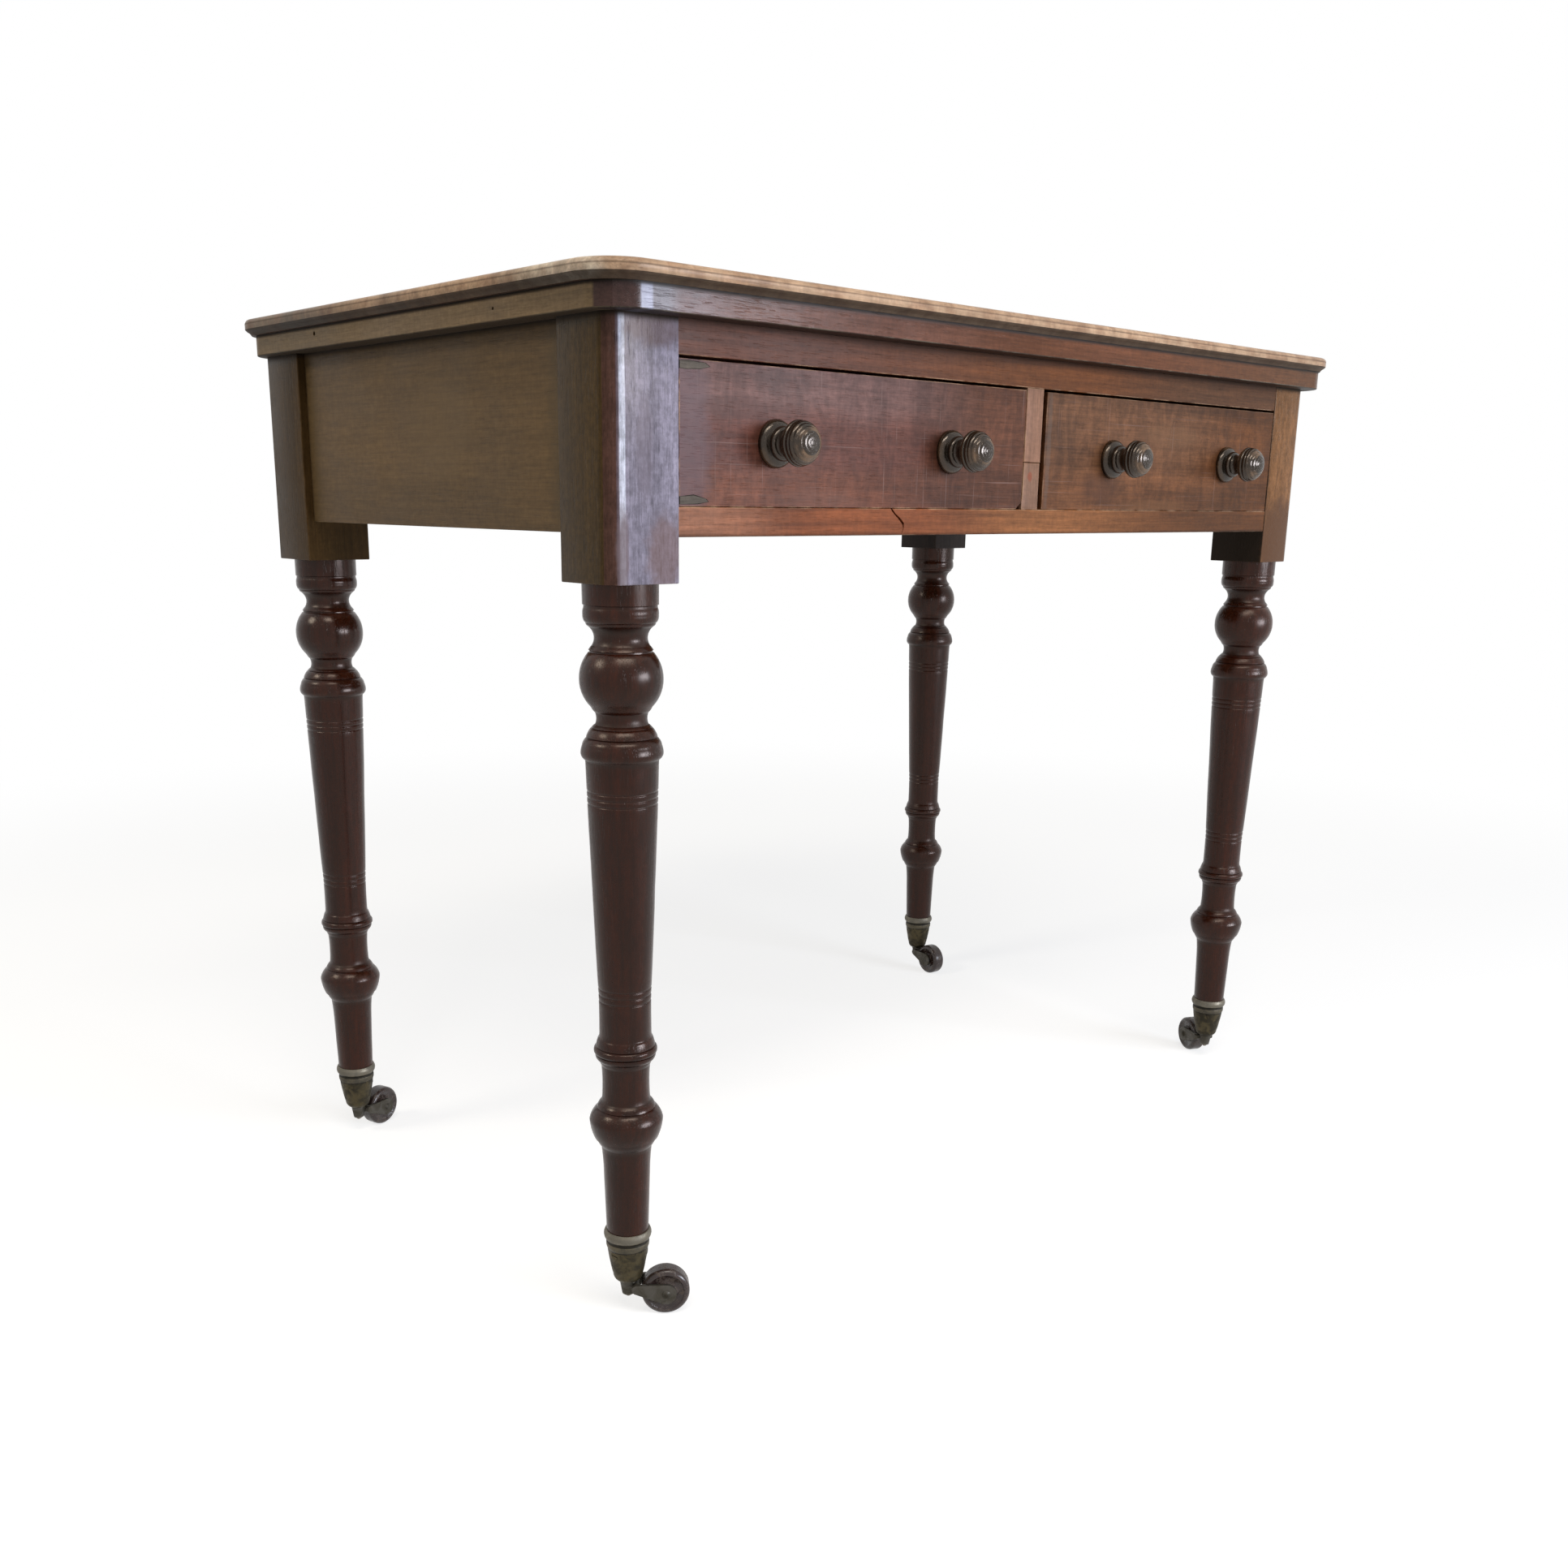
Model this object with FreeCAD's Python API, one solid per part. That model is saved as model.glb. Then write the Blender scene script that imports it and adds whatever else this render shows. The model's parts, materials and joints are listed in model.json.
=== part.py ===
import FreeCAD, Part
import math
import os

os.makedirs("parts", exist_ok=True)
Vector = FreeCAD.Vector

# A writing table with two drawers on four turned legs with swivelling casters.
# Millimetres. X runs along the front, Y from front to back, Z up from the floor.

# Frame over the posts
frame_length = 873.4
frame_depth = 492.0
total_height = 751.0

# Top board and the plain band under it
top_thickness = 12.8
top_overhang_side = 20.3
top_overhang_front = 23.5
top_overhang_back = 25.0
top_corner_radius = 36.0
edge_round = 4.2
edge_hollow = 5.0
band_height = 16.5
band_overhang_side = 12.0
band_overhang_front = 18.0
band_overhang_back = 17.0
band_corner_radius = 29.0
band_width = 60.0

# Posts, aprons and rails
post_side = 56.0
post_length = 169.7
post_corner_radius = 13.0
apron_height = 137.0
apron_thickness = 20.0
apron_recess = 6.2
bottom_rail_height = 19.8
top_rail_height = 22.6
drawer_opening_height = 96.7
muntin_width = 22.0
muntin_depth = 30.0
muntin_offset = -2.0
edge_softening = 0.7

# Joints of the frame
tenon_thickness = 8.0
tenon_length = 25.0
tenon_shoulder = 10.0
rail_tenon_length = 20.0
rail_tenon_shoulder = 4.0
rail_tenon_setback = 8.0
muntin_tenon_length = 7.0
joint_clearance = 0.15
mortise_spare = 1.0

# Runners, guides, kickers, stops and blocks inside the frame
runner_thickness = 16.0
runner_lip = 15.0
centre_runner_width = 60.0
guide_height = 22.0
guide_clearance = 1.0
stop_height = 5.0
stop_width = 30.0
stop_depth = 12.0
block_length = 40.0
block_depth = 22.0

# Drawers
drawer_gap_outer = 0.9
drawer_gap_muntin = 3.0
drawer_gap_top = 2.0
drawer_gap_bottom = 0.3
drawer_back_room = 60.0
drawer_front_thickness = 20.0
drawer_lap = 6.0
drawer_side_thickness = 9.5
drawer_side_drop = 6.0
drawer_back_thickness = 10.0
drawer_back_drop = 6.0
drawer_bottom_thickness = 7.0
drawer_bottom_rise = 8.0
drawer_groove_depth = 5.0
front_tail_count = 3
back_tail_count = 2
tail_slope_share = 0.16

# Knobs
knob_drop = 5.05
knob_inset_outer = 84.3
knob_inset_inner = 94.5
knob_shift = 2.3
knob_projection = 38.5
knob_radius = 15.6
knob_spigot_radius = 6.0
fit_clearance = 0.05

# Casters
rim_height = 71.4
cup_bottom = 28.0
cup_rim_width = 1.7
cup_floor = 5.5
foot_shoulder = 0.24
foot_end_share = 0.65
wheel_radius = 18.5
wheel_width = 15.6
wheel_edge_radius = 4.0
wheel_dish = 0.9
wheel_hub_radius = 6.5
trail_past_wheel = 10.0
horn_gap = 0.4
boss_top_radius = 6.6
boss_end_radius = 4.7
boss_height = 11.2
cheek_thickness = 2.6
cheek_clearance = 0.35
cheek_wheel_end_radius = 8.0
cheek_boss_end_radius = 3.6
cheek_boss_end_x = 6.0
cheek_boss_end_drop = 4.3
spindle_radius = 2.5
spindle_head_radius = 4.4
spindle_head_height = 1.8
spindle_button_radius = 3.5
spindle_button_height = 1.9
axle_radius = 2.2
axle_head_radius = 3.3
axle_head_height = 1.2

# Screws
top_screw_radius = 2.2
top_screw_head_radius = 4.2
top_screw_bite = 8.0
top_screw_rail_share = 0.435
top_screw_side_share = 0.447
top_block_share = 0.527
cup_screw_radius = 1.5
cup_screw_head_radius = 2.9
cup_screw_length = 9.0
cup_screw_drop_share = 0.424
cup_screw_count = 3
slot_width = 0.8
slot_depth = 0.6

# Directions of the casters and of each cup's first screw, in degrees about Z
caster_turn = {"front_left": -36.0, "back_left": 18.0, "front_right": 62.0, "back_right": -98.0}
cup_screw_turn = {"front_left": 70.0, "back_left": 100.0, "front_right": 210.0, "back_right": 40.0}

# The turned leg from the underside of the post down to the top of the cup. Each step is a share
# of the turned height, a share of half the post's side, and the bulge of the line that leads
# there as a share of half the post's side: outwards above zero, hollow below.
leg_shares = (
    (0.0000, 0.920, 0.0),
    (0.0293, 0.916, 0.0),
    (0.0305, 0.888, 0.0),
    (0.0333, 0.888, 0.0),
    (0.0345, 0.894, 0.0),
    (0.0440, 0.914, 0.010),
    (0.0535, 0.876, 0.014),
    (0.0548, 0.845, 0.0),
    (0.0598, 0.789, 0.016),
    (0.0870, 0.695, -0.092),
    (0.0935, 0.782, 0.004),
    (0.0945, 0.756, 0.0),
    (0.0965, 0.760, 0.0),
    (0.0975, 0.796, 0.0),
    (0.1343, 1.020, 0.058),
    (0.1745, 0.752, 0.074),
    (0.1778, 0.722, 0.0),
    (0.1828, 0.648, 0.004),
    (0.2001, 0.648, -0.027),
    (0.2046, 0.738, 0.006),
    (0.2053, 0.727, 0.0),
    (0.2060, 0.762, 0.0),
    (0.2178, 0.870, 0.012),
    (0.2186, 0.848, 0.0),
    (0.2196, 0.872, 0.0),
    (0.2300, 0.975, 0.020),
    (0.2401, 1.014, 0.006),
    (0.2509, 0.920, 0.030),
    (0.2530, 0.902, 0.0),
    (0.4479, 0.782, 0.008),
    (0.6107, 0.671, 0.007),
    (0.6680, 0.667, -0.004),
    (0.6785, 0.682, -0.006),
    (0.6797, 0.702, 0.0),
    (0.6915, 0.760, 0.006),
    (0.6923, 0.745, 0.0),
    (0.6931, 0.774, 0.0),
    (0.6984, 0.817, 0.012),
    (0.7036, 0.783, 0.014),
    (0.7044, 0.762, 0.0),
    (0.7052, 0.780, 0.0),
    (0.7150, 0.702, 0.026),
    (0.7158, 0.680, 0.0),
    (0.7234, 0.628, 0.004),
    (0.7243, 0.627, 0.0),
    (0.7802, 0.627, -0.019),
    (0.7824, 0.648, 0.0),
    (0.7918, 0.756, 0.014),
    (0.7927, 0.746, 0.0),
    (0.7936, 0.776, 0.0),
    (0.8121, 0.956, 0.028),
    (0.8420, 0.829, 0.024),
    (0.8432, 0.785, 0.0),
    (0.8558, 0.672, 0.012),
    (0.8572, 0.657, 0.0),
    (0.9046, 0.605, -0.010),
    (1.0000, 0.556, 0.0),
)
# Lines scribed round the taper, above and below, as shares of the turned height
scribe_shares = (0.2970, 0.3064, 0.3158, 0.5992, 0.6092, 0.6192)
scribe_radius = 0.75
scribe_depth = 0.45

# The cup from its rim down, as shares of its height and of its radius, with bulges as above
cup_shares = (
    (0.000, 0.985, 0.0),
    (0.012, 1.000, 0.004),
    (0.160, 1.000, 0.060),
    (0.176, 0.935, 0.0),
    (0.212, 0.925, 0.0),
    (0.226, 0.955, 0.0),
    (0.318, 0.945, 0.012),
    (0.334, 0.915, 0.0),
    (0.650, 0.790, 0.010),
    (0.860, 0.672, 0.010),
    (1.000, 0.412, 0.070),
)

# The knob from the drawer front outwards, as shares of its projection and of its head's radius
knob_shares = (
    (0.000, 1.040, 0.0),
    (0.047, 1.065, 0.006),
    (0.156, 0.820, 0.055),
    (0.171, 0.730, 0.0),
    (0.182, 0.750, 0.0),
    (0.286, 0.680, 0.045),
    (0.296, 0.600, 0.0),
    (0.483, 0.577, -0.060),
    (0.504, 0.705, 0.0),
    (0.587, 0.955, 0.050),
    (0.665, 0.987, 0.040),
    (0.675, 0.955, 0.0),
    (0.686, 0.980, 0.0),
    (0.818, 0.897, 0.045),
    (0.925, 0.630, 0.035),
    (0.935, 0.596, 0.0),
    (1.000, 0.000, 0.0),
)

# Places that follow from the sizes
half_length = frame_length / 2
half_depth = frame_depth / 2
middle_y = (knob_projection - top_overhang_back) / 2
front_y = middle_y - half_depth
back_y = middle_y + half_depth
inner_x = half_length - post_side
front_inner_y = front_y + post_side
back_inner_y = back_y - post_side
leg_x = half_length - post_side / 2
top_underside = total_height - top_thickness
band_bottom = top_underside - band_height
post_bottom = band_bottom - post_length
apron_bottom = band_bottom - apron_height
top_rail_bottom = band_bottom - top_rail_height
bottom_rail_top = top_rail_bottom - drawer_opening_height
bottom_rail_bottom = bottom_rail_top - bottom_rail_height
apron_outer_x = half_length - apron_recess
apron_inner_x = apron_outer_x - apron_thickness
apron_back_inner_y = back_y - apron_recess - apron_thickness
foot_top_radius = leg_shares[-1][1] * post_side / 2 - foot_shoulder
foot_end_radius = foot_end_share * foot_top_radius
cup_radius = foot_top_radius + cup_rim_width
cup_height = rim_height - cup_bottom
cup_screw_height = rim_height - cup_screw_drop_share * cup_height
foot_bottom = cup_bottom + cup_floor
caster_trail = wheel_radius + trail_past_wheel
horn_top = cup_bottom - horn_gap
boss_bottom = horn_top - boss_height
cheek_inner = wheel_width / 2 + cheek_clearance
cheek_outer = cheek_inner + cheek_thickness
top_screw_length = top_rail_height + band_height + top_screw_bite
overrun = post_side

corners = {
    "front_left": (-1, -1),
    "front_right": (1, -1),
    "back_left": (-1, 1),
    "back_right": (1, 1),
}


def leg_centre(corner):
    side, end = corners[corner]
    return side * leg_x, middle_y + end * (half_depth - post_side / 2)


def box(x_low, x_high, y_low, y_high, z_low, z_high):
    return Part.makeBox(x_high - x_low, y_high - y_low, z_high - z_low, Vector(x_low, y_low, z_low))


def mirrored_box(side, x_near, x_far, y_low, y_high, z_low, z_high):
    """A box between two distances from the middle, on the left or the right."""
    ends = sorted((side * x_near, side * x_far))
    return box(ends[0], ends[1], y_low, y_high, z_low, z_high)


def grown(x_low, x_high, y_low, y_high, z_low, z_high, room):
    return box(x_low - room, x_high + room, y_low - room, y_high + room, z_low - room, z_high + room)


def softened(solid, edges, radius=edge_softening):
    return solid.makeFillet(radius, edges)


def edges_on_plane(solid, axis, place):
    """The edges that lie wholly at one place along an axis."""
    found = []
    for edge in solid.Edges:
        low = getattr(edge.BoundBox, axis + "Min")
        high = getattr(edge.BoundBox, axis + "Max")
        if abs(low - place) < Part.Precision.confusion() and abs(high - place) < Part.Precision.confusion():
            found.append(edge)
    return found


def save(name, shape):
    shape.exportStep("parts/%s.step" % name)


# Outlines
def bulged_line(start, end, bulge):
    """A straight line, or an arc that stands out from it by the bulge, to the left of its travel."""
    if bulge == 0:
        return Part.LineSegment(start, end)
    travel = end - start
    out = Vector(-travel.z, 0, travel.x).normalize()
    middle = (start + end) * 0.5 + out * bulge
    return Part.Arc(start, middle, end)


def domed_end(start, tip):
    """An arc that reaches the axis square to it, so that the turned end is a dome."""
    rise = start.z - tip.z
    sphere = (start.x ** 2 + rise ** 2) / (rise + rise)
    turn = math.atan2(start.x, sphere - rise) / 2
    middle = Vector(sphere * math.sin(turn), 0, tip.z + sphere - sphere * math.cos(turn))
    return Part.Arc(start, middle, tip)


def turned(shares, top, height, radius):
    """A solid turned about Z from an outline that runs down from its top."""
    points = []
    for drop_share, radius_share, bulge_share in shares:
        points.append(Vector(radius_share * radius, 0, top - drop_share * height))
    curves = [Part.LineSegment(Vector(0, 0, points[0].z), points[0])]
    for place in range(1, len(points)):
        if points[place].x == 0:
            curves.append(domed_end(points[place - 1], points[place]))
        else:
            curves.append(bulged_line(points[place - 1], points[place], shares[place][2] * radius))
    if points[-1].x > 0:
        curves.append(Part.LineSegment(points[-1], Vector(0, 0, points[-1].z)))
    curves.append(Part.LineSegment(Vector(0, 0, points[-1].z), Vector(0, 0, points[0].z)))
    face = Part.Face(Part.Wire([curve.toShape() for curve in curves]))
    return face.revolve(Vector(0, 0, 0), Vector(0, 0, 1), 360)


def rounded_outline(corner_points, z):
    """A closed outline at height z whose corners (x, y, radius) are rounded."""
    places = [(Vector(x, y, z), radius) for x, y, radius in corner_points]
    curves = []
    last_end = None
    first_start = None
    for index, (corner, radius) in enumerate(places):
        before = (places[index - 1][0] - corner).normalize()
        after = (places[(index + 1) % len(places)][0] - corner).normalize()
        start = corner
        end = corner
        if radius > 0:
            half_angle = before.getAngle(after) / 2
            start = corner + before * (radius / math.tan(half_angle))
            end = corner + after * (radius / math.tan(half_angle))
        if first_start is None:
            first_start = start
        else:
            curves.append(Part.LineSegment(last_end, start))
        if radius > 0:
            inward = (before + after).normalize()
            middle = corner + inward * (radius / math.sin(half_angle) - radius)
            curves.append(Part.Arc(start, middle, end))
        last_end = end
    curves.append(Part.LineSegment(last_end, first_start))
    return Part.Wire([curve.toShape() for curve in curves])


def rounded_plate(corner_points, z_low, z_high):
    return Part.Face(rounded_outline(corner_points, z_low)).extrude(Vector(0, 0, z_high - z_low))


def board_corners(side, front, back, radius):
    """The corners of a board that overhangs the frame by these amounts."""
    x = half_length + side
    y_low = front_y - front
    y_high = back_y + back
    return [(-x, y_low, radius), (x, y_low, radius), (x, y_high, radius), (-x, y_high, radius)]


# Screws
def screw(radius, head_radius, length):
    """A countersunk screw along +Z with the flat of its head at the origin."""
    head_height = head_radius - radius
    head = Part.makeCone(head_radius, radius, head_height)
    shank = Part.makeCylinder(radius, length - radius)
    point = Part.makeCone(radius, 0, radius, Vector(0, 0, length - radius))
    slot = box(-head_radius, head_radius, -slot_width / 2, slot_width / 2, -slot_depth, slot_depth)
    return head.fuse(shank).fuse(point).removeSplitter().cut(slot)


def screw_hole(radius, head_radius, length):
    """The hole for that screw, countersunk, with the fit clearance all round."""
    wide = head_radius + fit_clearance
    narrow = radius + fit_clearance
    sink = Part.makeCone(wide, narrow, wide - narrow)
    mouth = Part.makeCylinder(wide, head_radius, Vector(0, 0, -head_radius))
    return mouth.fuse(sink).fuse(Part.makeCylinder(narrow, length + fit_clearance))


def top_screw_places():
    """Up through the top rail, the side kickers and the blocks, in the middle of what the band covers."""
    rail_y = (front_y + band_inner_front()) / 2
    kicker_x = (apron_inner_x + band_inner_x()) / 2
    block_y = (apron_back_inner_y + band_inner_back()) / 2
    places = []
    for side in (-1, 1):
        places.append((side * top_screw_rail_share * half_length, rail_y))
        for end in (-1, 1):
            places.append((side * kicker_x, middle_y + end * top_screw_side_share * half_depth))
        places.append((side * top_block_share * half_length, block_y))
    return places


def with_top_screw_holes(solid):
    for x, y in top_screw_places():
        hole = screw_hole(top_screw_radius, top_screw_head_radius, top_screw_length)
        hole.translate(Vector(x, y, top_rail_bottom))
        if hole.common(solid).Volume > 0:
            solid = solid.cut(hole)
    return solid


def top_screws():
    solids = []
    for x, y in top_screw_places():
        piece = screw(top_screw_radius, top_screw_head_radius, top_screw_length)
        piece.translate(Vector(x, y, top_rail_bottom))
        solids.append(piece)
    return Part.makeCompound(solids)


def cup_screw_placement(corner, index):
    """Turns a screw from +Z to point inwards through the cup's wall."""
    x, y = leg_centre(corner)
    turn = cup_screw_turn[corner] + index * 360 / cup_screw_count
    aim = FreeCAD.Rotation(Vector(0, 0, 1), turn).multiply(FreeCAD.Rotation(Vector(0, 1, 0), -90))
    reach = aim.multVec(Vector(0, 0, -cup_wall_radius(cup_screw_height)))
    return FreeCAD.Placement(Vector(x, y, cup_screw_height) + reach, aim)


def cup_screw_solids(corner, maker):
    solids = []
    for index in range(cup_screw_count):
        piece = maker(cup_screw_radius, cup_screw_head_radius, cup_screw_length)
        piece.Placement = cup_screw_placement(corner, index)
        solids.append(piece)
    return solids


# Top board and band
def top_board():
    """A board with a rounded upper edge and a hollow under its nose."""
    outline = board_corners(top_overhang_side, top_overhang_front, top_overhang_back, top_corner_radius)
    board = rounded_plate(outline, top_underside, total_height)
    nose_y = front_y - top_overhang_front
    start = Vector(-half_length - top_overhang_side + top_corner_radius, nose_y, 0)
    path = rounded_outline(outline, top_underside)
    for waste in (edge_waste_above(start), edge_waste_below(start)):
        board = board.cut(waste_along(path, waste))
    return with_top_screw_holes(board)


def edge_point(start, inwards, z):
    return Vector(start.x, start.y + inwards, z)


def waste_along(path, outline):
    shell = Part.BRepOffsetAPI.MakePipeShell(path)
    shell.setFrenetMode(True)
    shell.add(outline)
    shell.build()
    shell.makeSolid()
    return shell.shape()


def edge_waste_above(start):
    """What is planed off above the nose: outside a quarter round."""
    rounding_drop_share = 0.9
    rise = edge_round * rounding_drop_share
    low = edge_point(start, 0, total_height - rise)
    high = edge_point(start, edge_round, total_height)
    chord = edge_round * math.cos(math.radians(45))
    middle = edge_point(start, edge_round - chord, total_height - rise + rise * math.sin(math.radians(45)))
    above = total_height + edge_round
    outside = -edge_round
    points = [high, edge_point(start, edge_round, above), edge_point(start, outside, above)]
    points += [edge_point(start, outside, low.z), low]
    edges = [Part.Arc(low, middle, high).toShape()]
    for place in range(1, len(points)):
        edges.append(Part.LineSegment(points[place - 1], points[place]).toShape())
    return Part.Wire(Part.__sortEdges__(edges))


def edge_waste_below(start):
    """What is planed off below the nose: a small round and then a hollow back to the band."""
    nose_low_share = 0.36
    lip_share = 0.25
    lip_in_share = 0.30
    hollow_middle_in_share = 0.58
    hollow_middle_share = 0.19
    nose_low = edge_point(start, 0, top_underside + top_thickness * nose_low_share)
    lip = edge_point(start, edge_hollow * lip_in_share, top_underside + top_thickness * lip_share)
    middle = edge_point(start, edge_hollow * hollow_middle_in_share,
                        top_underside + top_thickness * hollow_middle_share)
    foot = edge_point(start, edge_hollow, top_underside)
    below = top_underside - edge_hollow
    outside = -edge_hollow
    points = [foot, edge_point(start, edge_hollow, below), edge_point(start, outside, below)]
    points += [edge_point(start, outside, nose_low.z), nose_low, lip]
    edges = [Part.Arc(lip, middle, foot).toShape()]
    for place in range(1, len(points)):
        edges.append(Part.LineSegment(points[place - 1], points[place]).toShape())
    return Part.Wire(Part.__sortEdges__(edges))


def band_ring():
    outer = board_corners(band_overhang_side, band_overhang_front, band_overhang_back, band_corner_radius)
    ring = rounded_plate(outer, band_bottom, top_underside)
    hole = box(-band_inner_x(), band_inner_x(), band_inner_front(), band_inner_back(),
               band_bottom - overrun, top_underside + overrun)
    return ring.cut(hole)


def band_inner_x():
    return half_length + band_overhang_side - band_width


def band_inner_front():
    return front_y - band_overhang_front + band_width


def band_inner_back():
    return back_y + band_overhang_back - band_width


def band_piece(ring, side):
    """One side of the band, mitred at its ends."""
    x_out = half_length + band_overhang_side
    y_front = front_y - band_overhang_front
    y_back = back_y + band_overhang_back
    outer = {
        "front": ((-x_out, y_front), (x_out, y_front)),
        "right": ((x_out, y_front), (x_out, y_back)),
        "back": ((x_out, y_back), (-x_out, y_back)),
        "left": ((-x_out, y_back), (-x_out, y_front)),
    }[side]
    inner = {
        "front": ((band_inner_x(), band_inner_front()), (-band_inner_x(), band_inner_front())),
        "right": ((band_inner_x(), band_inner_back()), (band_inner_x(), band_inner_front())),
        "back": ((-band_inner_x(), band_inner_back()), (band_inner_x(), band_inner_back())),
        "left": ((-band_inner_x(), band_inner_front()), (-band_inner_x(), band_inner_back())),
    }[side]
    corners_here = [(x, y, 0) for x, y in outer + inner]
    piece = ring.common(rounded_plate(corners_here, band_bottom, top_underside))
    return with_top_screw_holes(piece)


# Legs
def foot_solid(room):
    """The tapered foot inside the cup, grown by some room."""
    return Part.makeCone(foot_end_radius + room, foot_top_radius + room, rim_height - foot_bottom,
                         Vector(0, 0, foot_bottom))


def leg_radius(share):
    """The radius of the leg's outline at a share of its height, on its straight lines."""
    for before, after in zip(leg_shares, leg_shares[1:]):
        if before[0] <= share <= after[0]:
            part = (share - before[0]) / (after[0] - before[0])
            return (before[1] + (after[1] - before[1]) * part) * post_side / 2


def turned_leg():
    turned_height = post_bottom - rim_height
    solid = turned(leg_shares, post_bottom, turned_height, post_side / 2)
    for share in scribe_shares:
        reach = leg_radius(share) + scribe_radius - scribe_depth
        line = Part.makeTorus(reach, scribe_radius, Vector(0, 0, post_bottom - share * turned_height))
        solid = solid.cut(line)
    return solid.fuse(foot_solid(0)).cut(spindle_head_room())


def spindle_head_room():
    return Part.makeCylinder(spindle_head_radius + fit_clearance, spindle_head_height + fit_clearance,
                             Vector(0, 0, foot_bottom))


def post(corner):
    """The square of the leg. At the front its outer corner is rounded down its length."""
    side, end = corners[corner]
    x, y = leg_centre(corner)
    half = post_side / 2
    plan = []
    for sx, sy in ((-1, -1), (1, -1), (1, 1), (-1, 1)):
        radius = edge_softening
        if (sx, sy) == (side, end) and end < 0:
            radius = post_corner_radius
        plan.append((x + sx * half, y + sy * half, radius))
    return rounded_plate(plan, post_bottom, band_bottom)


def leg(corner, mortises):
    x, y = leg_centre(corner)
    lower = turned_leg()
    lower.translate(Vector(x, y, 0))
    solid = post(corner).fuse(lower)
    for mortise in mortises:
        solid = solid.cut(mortise)
    for hole in cup_screw_solids(corner, screw_hole):
        solid = solid.cut(hole)
    return solid


# Aprons and rails: each tenon is given as the six sides of its box
def side_tenon(side, end):
    x_middle = apron_outer_x - apron_thickness / 2
    x_ends = sorted((side * (x_middle - tenon_thickness / 2), side * (x_middle + tenon_thickness / 2)))
    shoulder_y = back_inner_y if end > 0 else front_inner_y
    y_ends = sorted((shoulder_y, shoulder_y + end * tenon_length))
    return x_ends[0], x_ends[1], y_ends[0], y_ends[1], apron_bottom + tenon_shoulder, band_bottom - tenon_shoulder


def back_tenon(side):
    y_middle = back_y - apron_recess - apron_thickness / 2
    x_ends = sorted((side * inner_x, side * (inner_x + tenon_length)))
    y_low = y_middle - tenon_thickness / 2
    y_high = y_middle + tenon_thickness / 2
    return x_ends[0], x_ends[1], y_low, y_high, apron_bottom + tenon_shoulder, band_bottom - tenon_shoulder


def rail_tenon(side, z_low, z_high):
    x_ends = sorted((side * inner_x, side * (inner_x + rail_tenon_length)))
    y_low = front_y + rail_tenon_setback
    y_high = front_inner_y - rail_tenon_setback
    return x_ends[0], x_ends[1], y_low, y_high, z_low + rail_tenon_shoulder, z_high - rail_tenon_shoulder


def mortise(tenon):
    return grown(*tenon, joint_clearance)


def leg_mortises(corner):
    side, end = corners[corner]
    tenons = [side_tenon(side, end)]
    if end > 0:
        tenons.append(back_tenon(side))
    else:
        tenons.append(rail_tenon(side, bottom_rail_bottom, bottom_rail_top))
        tenons.append(rail_tenon(side, top_rail_bottom, band_bottom))
    return [mortise(tenon) for tenon in tenons]


def side_apron(side):
    panel = mirrored_box(side, apron_inner_x, apron_outer_x, front_inner_y, back_inner_y,
                         apron_bottom, band_bottom)
    lower = [edge for edge in edges_on_plane(panel, "X", side * apron_outer_x)
             if edge.BoundBox.ZMax < band_bottom]
    panel = softened(panel, lower)
    for end in (-1, 1):
        panel = panel.fuse(box(*side_tenon(side, end)))
    return panel


def back_apron():
    panel = box(-inner_x, inner_x, apron_back_inner_y, back_y - apron_recess, apron_bottom, band_bottom)
    lower = [edge for edge in edges_on_plane(panel, "Y", back_y - apron_recess)
             if edge.BoundBox.ZMax < band_bottom]
    panel = softened(panel, lower)
    for side in (-1, 1):
        panel = panel.fuse(box(*back_tenon(side)))
    return panel


def muntin_sides():
    return muntin_offset - muntin_width / 2, muntin_offset + muntin_width / 2


def muntin_tenon(z_low, z_high):
    x_low, x_high = muntin_sides()
    shoulder = (muntin_width - tenon_thickness) / 2
    y_low = front_y + rail_tenon_setback
    y_high = front_y + muntin_depth - edge_softening
    return x_low + shoulder, x_high - shoulder, y_low, y_high, z_low, z_high


def rail(z_low, z_high):
    bar = box(-inner_x, inner_x, front_y, front_inner_y, z_low, z_high)
    front_edges = [edge for edge in edges_on_plane(bar, "Y", front_y) if edge.BoundBox.ZMax < band_bottom]
    bar = softened(bar, front_edges)
    for side in (-1, 1):
        bar = bar.fuse(box(*rail_tenon(side, z_low, z_high)))
    return bar


def bottom_rail():
    seat = mortise(muntin_tenon(bottom_rail_top - muntin_tenon_length, bottom_rail_top))
    return rail(bottom_rail_bottom, bottom_rail_top).cut(seat)


def top_rail():
    seat = mortise(muntin_tenon(top_rail_bottom, top_rail_bottom + muntin_tenon_length))
    return with_top_screw_holes(rail(top_rail_bottom, band_bottom).cut(seat))


def centre_muntin():
    x_low, x_high = muntin_sides()
    upright = box(x_low, x_high, front_y, front_y + muntin_depth, bottom_rail_top, top_rail_bottom)
    upright = softened(upright, edges_on_plane(upright, "Y", front_y))
    for tenon in (muntin_tenon(bottom_rail_top - muntin_tenon_length, bottom_rail_top),
                  muntin_tenon(top_rail_bottom, top_rail_bottom + muntin_tenon_length)):
        upright = upright.fuse(box(*tenon))
    return upright


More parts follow.
